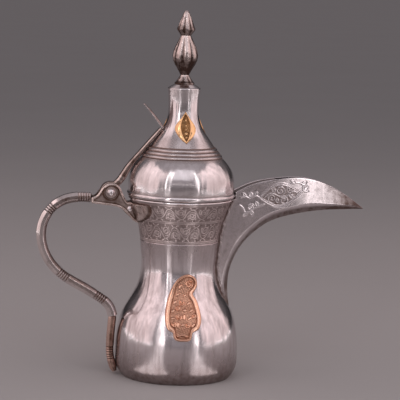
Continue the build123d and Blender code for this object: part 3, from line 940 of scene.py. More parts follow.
    def bridge(self) -> None:
        """The cover over the root: a thin plate bent across between the walls, just under their edges."""
        s = self.path(self.rows)
        x, z, angle, depth, _, _, top_w = s.T
        a = np.radians(angle)
        top_x, top_z = x + np.cos(a) * depth, z + np.sin(a) * depth
        keep = (top_x > 43.0) & (top_x < 78.0) & (z > 100)
        rows = np.stack([top_x[keep], top_z[keep], (top_w - self.wall * 0.8)[keep]], axis=1)
        rows = resample(rows, 50)
        u = np.linspace(-1, 1, 25)[None, :]
        y = rows[:, 2:] * u
        crown = self.bridge_crown * (1 - u**2)
        outer = np.stack([rows[:, :1] + 0 * u, y, rows[:, 1:2] - self.bridge_thick + crown], axis=-1)
        inner = outer - np.array([0, 0, self.bridge_thick])
        grid = np.concatenate([outer, inner[:, ::-1]], axis=1)
        gy, gx = self.fit_to_body(grid[..., 1], grid[..., 0], grid[..., 2])
        grid = np.stack([gx, gy, grid[..., 2]], axis=-1)
        piece = grid_mesh("spout_bridge_plate", grid, grime=np.full(grid.shape[:2], 0.55))
        close_ends(piece)
        finish_piece(piece, "pot", "polished_silver", Finish.POLISHED, "spout_bridge", sharp=40)


def close_ends(piece: bpy.types.Object) -> None:
    """Fills a tube's open ends and turns every face outwards."""
    shape = bmesh.new()
    shape.from_mesh(piece.data)
    edges = [e for e in shape.edges if e.is_boundary]
    bmesh.ops.holes_fill(shape, edges=edges, sides=0)
    bmesh.ops.triangulate(shape, faces=[f for f in shape.faces if len(f.verts) > 4])
    bmesh.ops.recalc_face_normals(shape, faces=shape.faces)
    shape.to_mesh(piece.data)
    shape.free()
    piece.data.shade_smooth()


# ------------------------------------------------------------------------------------------------ bars
def swept_bar(path: Array, section: Array, width: Array, height: Array) -> Array:
    """A section carried along a path in the middle plane.

    The section's first number is across the pot and its second is square to the path, both in shares of the half
    sizes, which may change along the path.

    Args:
        path: rows by 2, x and z.
        section: columns by 2.
        width: half-width at each row.
        height: half-height at each row.

    Returns:
        Rows by columns by 3.
    """
    d = np.gradient(path, axis=0)
    d /= np.linalg.norm(d, axis=1)[:, None]
    normal = np.stack([-d[:, 1], d[:, 0]], axis=1)
    across, up = section[None, :, 0] * width[:, None], section[None, :, 1] * height[:, None]
    x = path[:, :1] + normal[:, :1] * up
    z = path[:, 1:] + normal[:, 1:] * up
    return np.stack([x, across, z], axis=-1)


def octagon(width: float, height: float, edge: float, soft: float = 0.25) -> Array:
    """A box section with its corners cut, in shares of its half sizes: 64 points, their corners softened."""
    w, h = width / 2, height / 2
    right = [(w - edge, h), (w, h - edge), (w, -h + edge), (w - edge, -h)]
    loop = np.array(right + [(-x, y) for x, y in reversed(right)] + right[:1])
    return rounded(resample(loop, 65)[:-1], soft) / (w, h)


@dataclass
class Handle:
    """The chamfered bar with its ruled rings, and the tail lapped onto it."""

    bar_size: tuple[float, float, float] = (9.0, 7.8, 2.5)
    tail_size: tuple[float, float, float] = (8.4, 6.4, 2.2)
    bar_path: tuple[Point, ...] = (
        (-71.5, 146.0), (-86.0, 146.3), (-98.5, 142.6), (-108.0, 134.0), (-113.2, 121.0), (-112.2, 106.5),
        (-106.5, 94.0), (-95.5, 82.4), (-79.0, 72.6), (-64.0, 63.4), (-56.4, 56.6), (-53.6, 49.0),
    )
    tail_path: tuple[Point, ...] = (
        (-53.4, 50.6), (-54.4, 39.0), (-55.0, 28.0), (-54.9, 18.0), (-53.2, 10.0), (-50.6, 2.6),
    )
    bar_rings: tuple[tuple[Point, int], ...] = (
        ((-78.6, 146.4), 5), ((-106.6, 137.0), 3), ((-95.0, 82.2), 4), ((-64.6, 63.8), 4),
    )
    tail_rings: tuple[tuple[Point, int], ...] = (((-54.9, 19.8), 3), ((-54.4, 14.0), 1))
    ring_pitch: float = 2.0

    def build(self) -> None:
        """Makes the bar and the tail."""
        self.bar("handle_bar_forged", self.bar_path, self.bar_size, self.bar_rings, 620, 1.0, (0.0, 1.0), "handle_bar")
        self.bar(
            "handle_tail_forged", self.tail_path, self.tail_size, self.tail_rings, 240, 0.86, (0.35, 0.6), "handle_tail"
        )

    def bar(
        self, name: str, points: tuple[Point, ...], size: tuple[float, float, float],
        rings: tuple[tuple[Point, int], ...], rows: int, taper: float, ends: tuple[float, float], node: str,
    ) -> None:
        """One bar.

        Args:
            name: the piece's name.
            points: its path.
            size: its width, height and chamfer.
            rings: where the groups of rings are, and how many rings each has.
            rows: how many stations it has.
            taper: its width at the far end, as a share.
            ends: how blunt its first and last ends are, 1 being a full section.
            node: the model's node that it stands for.
        """
        path = smooth_curve(points, rows)
        run = np.r_[0, np.cumsum(np.linalg.norm(np.diff(path, axis=0), axis=1))]
        section = octagon(*size)
        dip = np.zeros(rows)
        for (rx, rz), count in rings:
            at = run[np.argmin(np.hypot(path[:, 0] - rx, path[:, 1] - rz))]
            for k in range(count + 1):
                dip = np.maximum(dip, ridge(run - at - (k - count / 2) * self.ring_pitch, 0.5))
        start, stop = ends
        blunt = np.minimum(start + (1 - start) * step(0, 3, run), stop + (1 - stop) * step(0, 4, run[-1] - run))
        share = (1 - 0.12 * dip) * blunt
        uneven = 1 + 0.012 * np.sin(run / 7.3) + 0.008 * np.sin(run / 3.1 + 1)
        width = size[0] / 2 * share * np.linspace(1, taper, rows)
        grid = swept_bar(path, section, width, size[1] / 2 * share * uneven)
        # The flat sides and the inner side get painted shade, varying along the bar on the flat sides; the ring grooves
        # hold tarnish.
        flat = step(0.93, 0.99, np.abs(section[None, :, 0]))
        inner = step(0.4, 0.9, section[None, :, 1])
        flat_shade_wave = 0.7 + 0.3 * np.sin(run / 17.0 + 0.6)[:, None]
        grime = np.clip(0.8 * dip[:, None] + 0.75 * flat * flat_shade_wave + 0.75 * inner + 0.02, 0, 1)
        piece = grid_mesh(name, grid, grime=grime)
        close_ends(piece)
        browned = node == "handle_tail"
        slot = "tarnished_silver" if browned else "polished_silver"
        finish_piece(piece, "pot", slot, Finish.BROWNED if browned else Finish.FORGED, node, sharp=24)


# ------------------------------------------------------------------------------------------------ plaques
@dataclass
class Plaque:
    """A gilt plaque that lies on a turned surface: rings shrink from its outline to its centre, and each point stands
    off the surface by the plaque's own height there."""

    name: str
    outline: tuple[Point, ...]
    centre: Point
    curve: Array
    body: str
    node: str
    finish: Finish
    relief: Callable[[Array, Array, Array], tuple[Array, Array]]
    turn: float = 0.0
    corners: bool = False
    columns: int = 400
    rings: int = 70
    core: int = 76

    def build(self) -> None:
        """Makes the plaque."""
        if self.corners:
            half = smooth_curve(self.outline, self.columns // 2 + 1)
            loop = np.vstack([half, (half * (-1, 1))[::-1][1:-1]])
        else:
            closed = np.vstack([self.outline, self.outline[:1]])
            wide = np.vstack([closed[-4:-1], closed, closed[1:4]])
            t = np.r_[0, np.cumsum(np.linalg.norm(np.diff(wide, axis=0), axis=1))]
            loop = spline_at(wide, t, np.linspace(t[3], t[-4], self.columns + 1)[:-1])
        centre = np.array(self.centre)
        spoke = loop - centre
        share = np.r_[1.0, 1.0, 1 - 0.27 * np.linspace(0, 1, self.rings), np.linspace(0.72, 0, self.core)]
        flat = centre + spoke[None, :, :] * share[:, None, None]
        edge = outline_distance(flat[..., 0], flat[..., 1], loop)
        height, grime = self.relief(flat[..., 0], flat[..., 1], edge)
        height = np.maximum(height, 0.15)
        height[0] = -0.5
        height[1] = 0.45
        radius = radius_at(self.curve, flat[..., 1]) + height
        x = flat[..., 0]
        y = -np.sqrt(np.maximum(radius**2 - x**2, 1.0))
        top = np.stack([x, y, flat[..., 1]], axis=-1)
        back_share = np.linspace(0.02, 1, 12)[:-1]
        back = centre + spoke[None, :, :] * back_share[:, None, None]
        sunk = radius_at(self.curve, back[..., 1]) - 0.5
        under = np.stack([back[..., 0], -np.sqrt(np.maximum(sunk**2 - back[..., 0] ** 2, 1.0)), back[..., 1]], axis=-1)
        grid = np.concatenate([under, top], axis=0)
        pole_under, pole_top = grid[:1].mean(axis=1, keepdims=True), grid[-1:].mean(axis=1, keepdims=True)
        round_once = np.ones((1, len(loop), 1))
        grid = np.concatenate([pole_under * round_once, grid[:-1], pole_top * round_once], axis=0)
        grime = np.concatenate([np.full((12, len(loop)), 0.8), grime], axis=0)
        c, s = math.cos(self.turn), math.sin(self.turn)
        gx, gy, gz = grid[..., 0], grid[..., 1], grid[..., 2]
        grid = np.stack([gx * c - gy * s, gx * s + gy * c, gz], axis=-1)
        piece = grid_mesh(self.name, grid, grime=grime)
        shape = bmesh.new()
        shape.from_mesh(piece.data)
        bmesh.ops.recalc_face_normals(shape, faces=shape.faces)
        shape.to_mesh(piece.data)
        shape.free()
        piece.data.shade_smooth()
        finish_piece(piece, self.body, "gilt", self.finish, self.node, sharp=60)


MEDALLION_PARTS: tuple[Curl | Petal | Vine, ...] = (
    Curl((-7.6, 50.0), 2.2, 1.2, 1, 0.6), Petal((-4.6, 47.6), (-4.0, 52.4), 1.2),
    Petal((-2.6, 49.6), (1.4, 50.6), 1.1), Curl((3.6, 49.4), 2.0, 1.2, -1, 2.4),
    Petal((6.4, 47.8), (9.6, 51.6), 1.2), Petal((-10.6, 54.4), (-6.2, 55.2), 1.1),
    Curl((-3.2, 56.0), 2.3, 1.3, -1, 0.2), Petal((0.4, 53.8), (1.2, 58.4), 1.2),
    Petal((3.2, 54.0), (7.0, 56.2), 1.1), Curl((9.2, 56.4), 1.9, 1.1, 1, 1.4),
    Petal((-10.0, 59.2), (-6.4, 61.6), 1.2), Curl((-3.8, 62.2), 1.9, 1.2, 1, 2.0),
    Petal((-0.6, 60.8), (3.6, 61.4), 1.2), Petal((4.8, 59.6), (8.6, 62.2), 1.1),
    Petal((-7.8, 65.4), (-4.6, 68.4), 1.2), Curl((-0.4, 66.6), 2.1, 1.2, -1, 1.2),
    Petal((3.0, 65.0), (6.4, 67.2), 1.1), Petal((-5.4, 71.8), (-2.0, 73.6), 1.2),
    Petal((0.6, 71.2), (3.6, 73.0), 1.1), Petal((-2.8, 77.0), (-0.4, 80.6), 1.2),
    Curl((5.6, 80.6), 3.1, 1.3, -1, 3.2), Vine(((-4.8, 41.2), (-1.2, 42.2), (2.4, 41.0))),
)


def medallion_relief(x: Array, z: Array, edge: Array) -> tuple[Array, Array]:
    """The medallion: a rounded rim round a sunk, matted field of scrolls and petals.

    The rim is 1.7 mm wide, and up to 3.4 mm at its sides.

    Returns:
        The height over the sheet in millimetres, and the tarnish, 0 to 1.
    """
    x = x + 1.0
    raised = ornament(x, z, MEDALLION_PARTS, 0.65)
    wide = 1.7 + 1.7 * (step(44.0, 49.0, z) - step(70.0, 82.0, z)) * step(0.0, 6.0, np.abs(x))
    rim = 1 - step(wide, wide + 0.5, edge)
    crown = np.sqrt(np.clip(1 - ((edge - wide / 2) / (wide / 2 + 0.3)) ** 2, 0.0, 1.0))
    ground = stipple(x, z, 1.7) * 0.16
    height = rim * (0.55 + 0.85 * crown) + (1 - rim) * (0.35 + ground * (1 - raised) + 0.95 * raised)
    grime = (1 - rim) * (0.62 - 0.75 * raised - 1.8 * ground) + 0.95 * ridge(edge - wide - 0.3, 0.6)
    grime = grime + 0.9 * ridge(edge, 0.6)
    return height, np.clip(grime, 0, 1)


def drop_relief(x: Array, z: Array, edge: Array) -> tuple[Array, Array]:
    """The drop: a broad polished border that slopes up to a sunk pointed leaf, with a ridge and beads down its middle.

    Returns:
        The height over the sheet in millimetres, and the tarnish, 0 to 1.
    """
    u = (z - 195.2) / (217.0 - 195.2)
    half = 3.9 * np.sin(np.pi * np.clip(u, 0, 1)) ** 0.8
    gap = half - np.abs(x)
    sunk = step(0.0, 0.5, gap)
    lip = ridge(gap, 0.4)
    beads = sum(np.clip(1 - ((x - 0.25) ** 2 + (z - at) ** 2) / size**2, 0, 1) for at, size in
                ((198.6, 0.9), (201.6, 1.3), (204.4, 0.7), (207.4, 0.8), (211.6, 0.9)))
    facets = 0.28 * np.clip(1 - np.abs(x) / np.maximum(half, 0.4), 0, 1) + 0.05 * np.sin(z * 2.1)
    height = 0.7 + 0.35 * step(0.0, 2.4, edge) * (1 - sunk) + 0.28 * lip - sunk * (0.3 - 0.5 * np.sqrt(beads) - facets)
    grime = sunk * (0.9 - 0.85 * np.sqrt(beads)) + 0.4 * ridge(edge, 0.4) + 0.35 * ridge(gap, 0.25)
    return height, np.clip(grime, 0, 1)


@dataclass
class Gilding:
    """The plaques on the bulb and on the spire."""

    medallion: tuple[Point, ...] = (
        (-9.6, 43.8), (-13.0, 45.8), (-15.2, 50.0), (-15.6, 55.5), (-14.4, 63.5), (-12.0, 71.5), (-8.6, 79.0),
        (-4.4, 84.8), (0.2, 87.8), (4.2, 88.4), (8.2, 86.9), (10.8, 83.4), (11.0, 79.4), (9.4, 76.2), (7.6, 73.6),
        (9.8, 69.6), (12.2, 63.6), (13.7, 56.0), (13.0, 50.0), (10.2, 46.0), (6.6, 44.2), (5.6, 41.2), (4.6, 38.6),
        (2.4, 37.5), (-0.9, 37.3), (-5.4, 37.5), (-8.2, 38.9), (-9.2, 41.4),
    )
    drop: tuple[Point, ...] = ((0.0, 218.6), (-4.0, 212.6), (-8.5, 204.6), (-5.6, 198.6), (0.0, 193.8))

    def build(self) -> None:
        """Makes every plaque: one medallion on each side, and three drops round the spire."""
        for side, turn in (("front", 0.0), ("back", math.pi)):
            outline = self.medallion if side == "front" else tuple((-x, z) for x, z in self.medallion[::-1])
            relief = medallion_relief if side == "front" else lambda x, z, edge: medallion_relief(-x, z, edge)
            Plaque(
                f"medallion_{side}_gilt", outline, (0.0, 62.0), BODY_CURVE, "pot", f"medallion_{side}",
                Finish.GILT, relief, turn,
            ).build()
        for side, degrees in (("front", 0.0), ("right", 118.0), ("left", -136.0)):
            turn = math.radians(degrees)
            Plaque(
                f"lid_drop_{side}_gilt", self.drop, (0.0, 205.0), SPIRE_CURVE, "lid", f"lid_drop_{side}",
                Finish.YELLOW_GILT, drop_relief, turn, corners=True, columns=220, rings=50, core=50,
            ).build()


# ------------------------------------------------------------------------------------------------ hinge
@dataclass
class Hinge:
    """The strap and the thumb leaf on the lid, the cheeks and the clasp, and the model's own pins and hidden parts."""

    strap_path: tuple[Point, ...] = (
        (-56.2, 156.0), (-52.6, 158.6), (-48.6, 163.6), (-44.4, 170.8), (-39.4, 177.6), (-33.0, 185.4),
        (-25.2, 194.8), (-18.0, 203.2),
    )
    strap_thick: tuple[Point, ...] = ((0.0, 5.2), (0.2, 5.4), (0.45, 4.0), (0.7, 3.4), (1.0, 3.0))
    cheek_top: tuple[Point, ...] = (
        (-73.5, 146.8), (-70.0, 148.2), (-66.0, 153.4), (-58.0, 158.6), (-50.8, 155.2), (-48.2, 150.0), (-44.4, 143.4),
    )
    cheek_low: tuple[Point, ...] = (
        (-35.4, 126.6), (-37.6, 127.4), (-43.4, 132.8), (-49.6, 138.2), (-60.0, 140.6), (-73.5, 142.1),
    )
    strap_size: tuple[float, float, float] = (7.9, 4.2, 1.15)
    strap_rows: int = 220
    half_width: float = 3.95
    knuckle_radius: float = 8.4
    pin_hole: float = 2.06
    cheek_inside: float = 4.25
    boss: float = 6.5
    clasp_wide: float = 29.0
    clasp_deep: float = 17.0
    clasp_top: float = 143.6
    clasp_thick: float = 1.6
    lug_half: float = 4.2
    thumb_root: Point = (-17.4, 203.6)
    thumb_tip: Point = (-32.6, 223.7)
    thumb_thick: float = 2.2

    def build(self) -> None:
        """Makes the strap and dresses the rest."""
        self.strap()
        self.thumb()
        self.clasp()
        for node in ("washer_near", "washer_far", "finial_nut", "finial_stem", "lid_bezel"):
            dress(node, Finish.TARNISHED)
        for node in ("hinge_pin", "clasp_rivet", "foot_plate", "mouth_ring"):
            dress(node, Finish.POLISHED)
        self.cheek("near", -1)
        self.cheek("far", 1)

    def cheek(self, side: str, out: int) -> None:
        """One cheek: rings shrink from its outline to its middle, and the face is raised at a bevelled border and in a
        boss round the pin.

        Args:
            side: near or far.
            out: the sign of y on its outer side.
        """
        top, low = smooth_curve(self.cheek_top, 120), smooth_curve(self.cheek_low, 90)
        z = np.linspace(143.0, 127.0, 30)
        seam = np.stack([0.6 - radius_at(BODY_CURVE, z), z], axis=1)
        loop = rounded(resample(np.vstack([top, seam, low, top[:1]]), 361)[:-1], 0.35)
        centre = np.array((-49.5, 141.5))
        border, middle = 1 - 0.3 * np.linspace(0, 1, 50) ** 1.2, np.linspace(0.69, 0.0, 40)[:-1]
        share = np.r_[np.linspace(0.0, 1.0, 8)[1:], 1.0, border, middle]
        flat = centre + (loop - centre)[None] * share[:, None, None]
        edge = outline_distance(flat[..., 0], flat[..., 1], loop)
        pin = frame_point("lid_hinge")
        ring = np.hypot(flat[..., 0] - pin[0], flat[..., 1] - pin[2])
        height = 0.95 + 0.6 * step(0.0, 0.9, edge) + 0.25 * ridge(edge - 1.1, 0.5) - 0.18 * ridge(edge - 2.0, 0.45)
        height = height + 0.25 * (1 - step(5.6, 6.4, ring)) * (edge > 0.9) - 0.2 * ridge(ring - self.boss, 0.4)
        height[:8] = 0.0
        grime = 0.5 + 0.5 * ridge(edge - 2.1, 0.6) + 0.5 * ridge(ring - self.boss, 0.7) - 0.75 * ridge(edge - 0.7, 0.8)
        grime = np.clip(grime + 0.45 * (1 - step(4.6, 5.4, ring)), 0, 1)
        y = out * (self.cheek_inside + height)
        grid = np.stack([flat[..., 0], y, flat[..., 1]], axis=-1)
        pole = np.array((centre[0], 0.0, centre[1]))
        back = np.broadcast_to(pole + (0, out * self.cheek_inside, 0), (1, len(loop), 3))
        front = np.broadcast_to(pole + (0, y[-1].mean(), 0), (1, len(loop), 3))
        grime = np.vstack([grime[:1], grime, grime[-1:]])
        piece = grid_mesh(f"cheek_{side}_plate", np.concatenate([back, grid, front]), grime=grime)
        finish_piece(piece, "pot", "tarnished_silver", Finish.TARNISHED, f"cheek_{side}", sharp=45)

    def clasp(self) -> None:
        """The clasp: half an ellipse of sheet that wraps the neck's handle side, and the lug between the cheeks.

        Rows run down from its straight top edge and columns run across; the edge is rolled over and darkened with
        painted shade, a painted highlight runs inside it, and the middle behind the cheeks gets painted shade.
        """
        rows, columns = 60, 160
        wide, deep, top = self.clasp_wide, self.clasp_deep, self.clasp_top
        v = 1 - np.cos(np.linspace(0, np.pi / 2, rows))[:, None]
        u = np.sin(np.linspace(-np.pi / 2, np.pi / 2, columns))[None, :]
        z = top - deep * np.sqrt(np.clip(1 - (1 - v) ** 2, 0, 1)) * np.ones((1, columns))
        y = wide * (1 - v) * u
        edge = np.minimum(wide * (1 - v) * (1 - np.abs(u)), top - z)
        edge = np.minimum(edge, 8.0 * (1 - np.hypot(y / wide, (top - z) / deep)))
        lift = self.clasp_thick * np.sqrt(np.clip(1 - (1 - np.clip(edge / 0.7, 0, 1)) ** 2, 0, 1))
        bulge = 0.35 * ridge(edge - 1.6, 0.7) - 0.15 * ridge(edge - 2.9, 0.6)
        bulge = np.minimum(lift + bulge, 1.9)
        base = radius_at(BODY_CURVE, z)
        outer = np.stack([-np.sqrt((base + bulge) ** 2 - y**2), y, z], axis=-1)
        inner = np.stack([-np.sqrt((base - 0.4) ** 2 - y**2), y, z], axis=-1)
        grid = np.concatenate([outer, inner[:, ::-1]], axis=1)
        cloud = 0.25 * np.sin(y / 2.3 + 1.5 * np.sin(z / 2.9)) * np.sin(z / 1.9 + y / 5.1)
        # painted shade at the edge and in the middle, a painted highlight just inside the edge, and patchy tarnish
        grime = 0.26 + cloud + 0.8 * (1 - step(0.1, 0.55, edge)) - 0.4 * ridge(edge - 1.1, 0.5)
        grime = grime + 0.35 * (1 - step(8.0, 15.0, np.abs(y)))
        grime = np.concatenate([np.clip(grime, 0, 1), np.ones((rows, columns))], axis=1)
        piece = grid_mesh("neck_clasp_petal", grid, grime=grime)
        close_ends(piece)
        finish_piece(piece, "pot", "tarnished_silver", Finish.TARNISHED, "neck_clasp", sharp=50)
        lug = np.array(((-34.0, 126.4), (-39.0, 128.6), (-46.8, 135.4), (-46.8, 140.6), (-44.6, 143.6), (-34.0, 143.6)))
        loop = rounded(resample(np.vstack([lug, lug[:1]]), 121)[:-1], 0.3)
        across = self.lug_half * np.array((-1.0, -1.0, 1.0, 1.0))
        size = np.array((0.0, 1.0, 1.0, 0.0))
        centre = loop.mean(axis=0)
        flat = centre + (loop - centre)[None] * size[:, None, None]
        block = np.stack([flat[..., 0], across[:, None] * np.ones((1, len(loop))), flat[..., 1]], axis=-1)
        piece = grid_mesh("neck_clasp_lug", block, grime=np.full(block.shape[:2], 0.6))
        finish_piece(piece, "pot", "tarnished_silver", Finish.TARNISHED, sharp=40)

    def strap(self) -> None:
        """The strap: a chamfered bar that thins towards the spire, and the round knuckle on the pin."""
        path = smooth_curve(self.strap_path, self.strap_rows)
        u = np.linspace(0, 1, self.strap_rows)
        thick = np.interp(u, *np.array(self.strap_thick).T)
        width = np.full(self.strap_rows, self.half_width)
        section = octagon(*self.strap_size, soft=0.18)
        grid = swept_bar(path, section, width, thick / 2)
        flat = step(0.9, 0.98, np.abs(section[None, :, 0]))
        collar = ridge(u[:, None] - 0.12, 0.02) + ridge(u[:, None] - 0.17, 0.015)
        grime = np.clip(0.12 + 0.3 * (1 - u)[:, None] + 0.5 * flat - 0.5 * collar, 0, 1)
        piece = grid_mesh("lid_strap_forged", grid, grime=grime)
        close_ends(piece)
        finish_piece(piece, "lid", "tarnished_silver", Finish.TARNISHED, "lid_strap", sharp=26)
        knuckle = self.barrel("lid_strap_knuckle", self.knuckle_radius, self.half_width)
        finish_piece(knuckle, "lid", "tarnished_silver", Finish.TARNISHED, sharp=40)

    def barrel(self, name: str, radius: float, half: float) -> bpy.types.Object:
        """A short drum round the hinge pin, its edges rounded."""
        centre = frame_point("lid_hinge")
        t = np.linspace(0, np.pi / 2, 7)
        soft = 0.6
        right = np.stack([radius - soft + soft * np.sin(t), -half + soft - soft * np.cos(t)], axis=1)
        left = right[::-1] * (1, -1)
        profile = np.vstack([[self.pin_hole, -half], right, left, [self.pin_hole, half]])
        columns = 96
        a = np.arange(columns) * 2 * np.pi / columns
        x = centre[0] + profile[:, :1] * np.cos(a)
        z = centre[2] + profile[:, :1] * np.sin(a)
        y = profile[:, 1:] * np.ones((1, columns))
        piece = grid_mesh(name, np.stack([x, y, z], axis=-1), wrap_rows=True, grime=np.full(y.shape, 0.5))
        return piece

    def thumb(self) -> None:
        """The thumb leaf: a thin plate whose half-width swells and closes to a rounded point."""
        rows, columns, front_painted_shade, back_painted_shade = 90, 21, 0.05, 0.75
        root, tip = np.array(self.thumb_root), np.array(self.thumb_tip)
        length = float(np.linalg.norm(tip - root))
        d = (tip - root) / length
        normal = np.array((d[1], -d[0]))
        s = np.linspace(0, 1, rows) ** 0.8
        half = 3.9 + 2.5 * step(0.05, 0.6, s)
        half = half * np.sqrt(np.clip(1 - (np.clip(s - 0.55, 0, 1) / 0.452) ** 2, 0, 1))
        v = np.linspace(-1, 1, columns)
        lift = -0.8 * s[:, None] ** 2 * (1 - v**2)[None, :]
        point = root + s[:, None] * length * d
        x = point[:, :1] + normal[0] * lift
        z = point[:, 1:] + normal[1] * lift
        y = half[:, None] * v[None, :]
        front = np.stack([x, y, z], axis=-1)
        swell = np.sqrt(np.clip(1 - np.abs(v) ** 6, 0.02, 1))[None, :, None]
        thick = self.thumb_thick * swell * (1 - 0.6 * s**3)[:, None, None]
        shift = np.array((normal[0], 0.0, normal[1])) * thick
        back = (front + shift)[:, ::-1]
        # painted shade: the back face is darker than the front
        grime = np.repeat([front_painted_shade, back_painted_shade], columns)[None, :] * np.ones((rows, 1))
        piece = grid_mesh("thumb_plate_leaf", np.concatenate([front, back], axis=1), grime=grime)
        close_ends(piece)
        finish_piece(piece, "lid", "polished_silver", Finish.POLISHED, "thumb_plate", sharp=40)


def frame_point(joint: str) -> Array:
    """A joint's place, in millimetres."""
    for item in frame["record"]["behaviour"]["joints"]:
        if item["name"] == joint:
            return np.array(item["pos_m"]) / MM
    raise KeyError(joint)


def dress(node: str, finish: Finish) -> None:
    """Gives one of the model's own nodes a finish in place of its materials."""
    piece = frame["nodes"][node]
    piece.data.materials.clear()
    piece.data.materials.append(finish.material)


# ------------------------------------------------------------------------------------------------ stage
@dataclass(frozen=True)
class SoftBox:
    """A lit cloth panel that faces the pot: its bearing and height, its distance, its width and height, its brightness
    as seen in a mirror, and its colour."""

    name: str
    azimuth: float
    height: float
    away: float
    size: tuple[float, float]
    radiance: float
    colour: Colour
    look_height: float = 0.13
    folds: float = 0.0

    def build(self) -> None:
        """Makes the light; its power is its brightness times pi and its area."""
        a = math.radians(self.azimuth)
        data = bpy.data.lights.new(self.name, "AREA")
        data.shape, data.size, data.size_y = "RECTANGLE", self.size[0], self.size[1]
        data.energy, data.color = self.radiance * math.pi * self.size[0] * self.size[1], self.colour
        if self.folds:
            self.pleat(data)
        lamp = bpy.data.objects.new(self.name, data)
        lamp.location = (math.sin(a) * self.away, -math.cos(a) * self.away, self.height)
        lamp.rotation_euler = (Vector((0, 0, self.look_height)) - lamp.location).to_track_quat("-Z", "Y").to_euler()
        lamp.visible_camera = False
        bpy.context.scene.collection.objects.link(lamp)

    def pleat(self, data: bpy.types.Light) -> None:
        """Makes the cloth hang in soft upright folds: stretched noise across the panel changes its brightness."""
        data.use_nodes = True
        tree = data.node_tree
        place, noise = tree.nodes.new("ShaderNodeNewGeometry"), tree.nodes.new("ShaderNodeTexNoise")
        scale, span = tree.nodes.new("ShaderNodeMapping"), tree.nodes.new("ShaderNodeMapRange")
        scale.inputs["Scale"].default_value = (11.0, 1.1, 1.0)
        noise.inputs["Scale"].default_value = 1.0
        noise.inputs["Detail"].default_value = 2.0
        limits = {"From Min": 0.33, "From Max": 0.67, "To Min": 1 - self.folds, "To Max": 1 + self.folds}
        for key, value in limits.items():
            span.inputs[key].default_value = value
        tree.links.new(place.outputs["Parametric"], scale.inputs["Vector"])
        tree.links.new(scale.outputs["Vector"], noise.inputs["Vector"])
        tree.links.new(noise.outputs["Fac"], span.inputs["Value"])
        tree.links.new(span.outputs["Result"], tree.nodes["Emission"].inputs["Strength"])


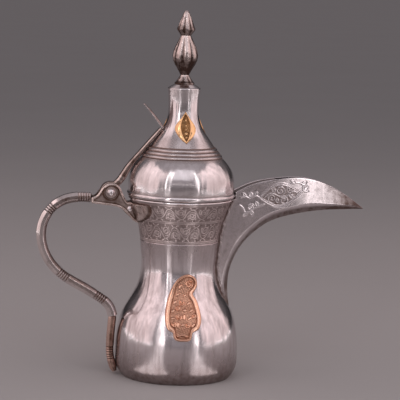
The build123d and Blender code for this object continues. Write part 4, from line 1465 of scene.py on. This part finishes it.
@dataclass
class Studio:
    """The floor, the lights and the camera."""

    azimuth: float = -8.0
    distance: float = 1.50
    height: float = 0.335
    aim: tuple[float, float, float] = (0.016, 0.0, 0.1453)
    roll: float = 1.92
    lens: float = 166.1
    sensor: float = 36.0
    warm: Colour = (1.0, 0.82, 0.81)
    cool: Colour = (0.95, 0.94, 1.0)
    shade: Colour = (0.98, 0.90, 0.95)
    floor_low: Colour = (0.42, 0.405, 0.40)
    floor_high: Colour = (0.45, 0.435, 0.43)
    floor_roughness: float = 0.85
    floor_reach: float = 60.0
    boxes: tuple[SoftBox, ...] = field(init=False)

    def __post_init__(self) -> None:
        """Lays out the light tent.

        Warm cloth hangs at both sides and a cool one overhead. Two bright gaps beside the camera are carried on by
        streaks on the floor, and thin bright hems run along the cloths' lower edges.
        """
        bright, cloth, gap, streak, straight_up = (1.0, 0.96, 0.97), 0.72, 2.2, 0.75, 900.0
        self.boxes = (
            SoftBox("cloth_left", -90.0, 0.66, 0.95, (1.50, 1.24), cloth, self.warm, 0.5, 0.5),
            SoftBox("cloth_right", 80.0, 0.66, 0.95, (1.50, 1.24), cloth, self.warm, 0.5, 0.5),
            SoftBox("gap_left", -38.0, 0.80, 1.10, (0.15, 1.56), gap, bright, 0.80),
            SoftBox("gap_right", 29.0, 0.80, 1.10, (0.12, 1.56), gap, bright, 0.80),
            SoftBox("streak_left", -38.0, 0.004, 0.485, (0.045, 0.86), streak, bright, straight_up),
            SoftBox("streak_right", 26.0, 0.004, 0.485, (0.035, 0.86), streak, bright, straight_up),
            SoftBox("cloth_top", -5.0, 1.10, 0.95, (1.05, 1.00), 0.48, self.cool, 0.13, 0.3),
            SoftBox("hem_front", -5.0, 0.30, 1.14, (1.05, 0.014), gap, bright, 0.30),
            SoftBox("hem_left", -90.0, 0.035, 0.95, (1.50, 0.02), gap, bright, 0.035),
            SoftBox("hem_right", 80.0, 0.035, 0.95, (1.50, 0.02), gap, bright, 0.035),
            SoftBox("cloth_rear", 180.0, 1.60, 0.90, (1.6, 0.9), 0.30, self.warm),
        )

    def build(self) -> None:
        """Sets the stage."""
        bpy.context.scene.view_settings.view_transform = "Standard"
        self.floor()
        for box in self.boxes:
            box.build()
        self.air()
        self.camera()

    def air(self) -> None:
        """The tent's own glow: dim behind the pot, brighter in front of it and brightest overhead."""
        world = bpy.data.worlds.new("studio_air")
        world.use_nodes = True
        tree = world.node_tree
        way, parts = tree.nodes.new("ShaderNodeTexCoord"), tree.nodes.new("ShaderNodeSeparateXYZ")
        front, high = tree.nodes.new("ShaderNodeMapRange"), tree.nodes.new("ShaderNodeMapRange")
        both = tree.nodes.new("ShaderNodeMath")
        both.operation = "ADD"
        tree.links.new(way.outputs["Generated"], parts.inputs["Vector"])
        for node, axis, values in ((front, "Y", (0.25, -0.75, 0.03, 0.27)), (high, "Z", (0.1, 0.9, 0.0, 0.24))):
            tree.links.new(parts.outputs[axis], node.inputs["Value"])
            for key, value in zip(("From Min", "From Max", "To Min", "To Max"), values):
                node.inputs[key].default_value = value
        tree.links.new(front.outputs["Result"], both.inputs[0])
        tree.links.new(high.outputs["Result"], both.inputs[1])
        tree.links.new(both.outputs["Value"], tree.nodes["Background"].inputs["Strength"])
        tree.nodes["Background"].inputs["Color"].default_value = (*self.shade, 1)
        bpy.context.scene.world = world

    def floor(self) -> None:
        """A pale matte floor, wide enough to reach the horizon."""
        kit = ShaderKit("pale_floor")
        soft = kit.noise(kit.place(), 3.0)
        colour = kit.mix(soft, self.floor_low, self.floor_high)
        material = kit.finish(Base_Color=colour, Roughness=self.floor_roughness)
        mesh, reach = bpy.data.meshes.new("floor"), self.floor_reach
        corners = [(-reach, -reach, 0), (reach, -reach, 0), (reach, reach, 0), (-reach, reach, 0)]
        mesh.from_pydata(corners, [], [(0, 1, 2, 3)])
        plane = bpy.data.objects.new("floor", mesh)
        plane.data.materials.append(material)
        bpy.context.scene.collection.objects.link(plane)

    def camera(self) -> None:
        """The camera, a little to the handle's side and above the pot's middle, turned slightly about its own axis."""
        a = math.radians(self.azimuth)
        data = bpy.data.cameras.new("camera")
        data.lens, data.sensor_width = self.lens, self.sensor
        data.clip_start, data.clip_end = 0.05, 150.0
        eye = bpy.data.objects.new("camera", data)
        place = Vector((math.sin(a) * self.distance, -math.cos(a) * self.distance, self.height))
        look = (Vector(self.aim) - place).to_track_quat("-Z", "Y").to_matrix().to_4x4()
        eye.matrix_world = Matrix.Translation(place) @ look @ Matrix.Rotation(math.radians(self.roll), 4, "Z")
        bpy.context.scene.collection.objects.link(eye)
        bpy.context.scene.camera = eye


def main() -> None:
    """Builds the pot and its stage."""
    logging.basicConfig(level=logging.INFO, format="%(name)s %(message)s")
    Studio().build()
    for assembly in (Body(), Lid(), Finial(), Spout(), Handle(), Gilding(), Hinge()):
        assembly.build()


if __name__ == "__main__":
    main()
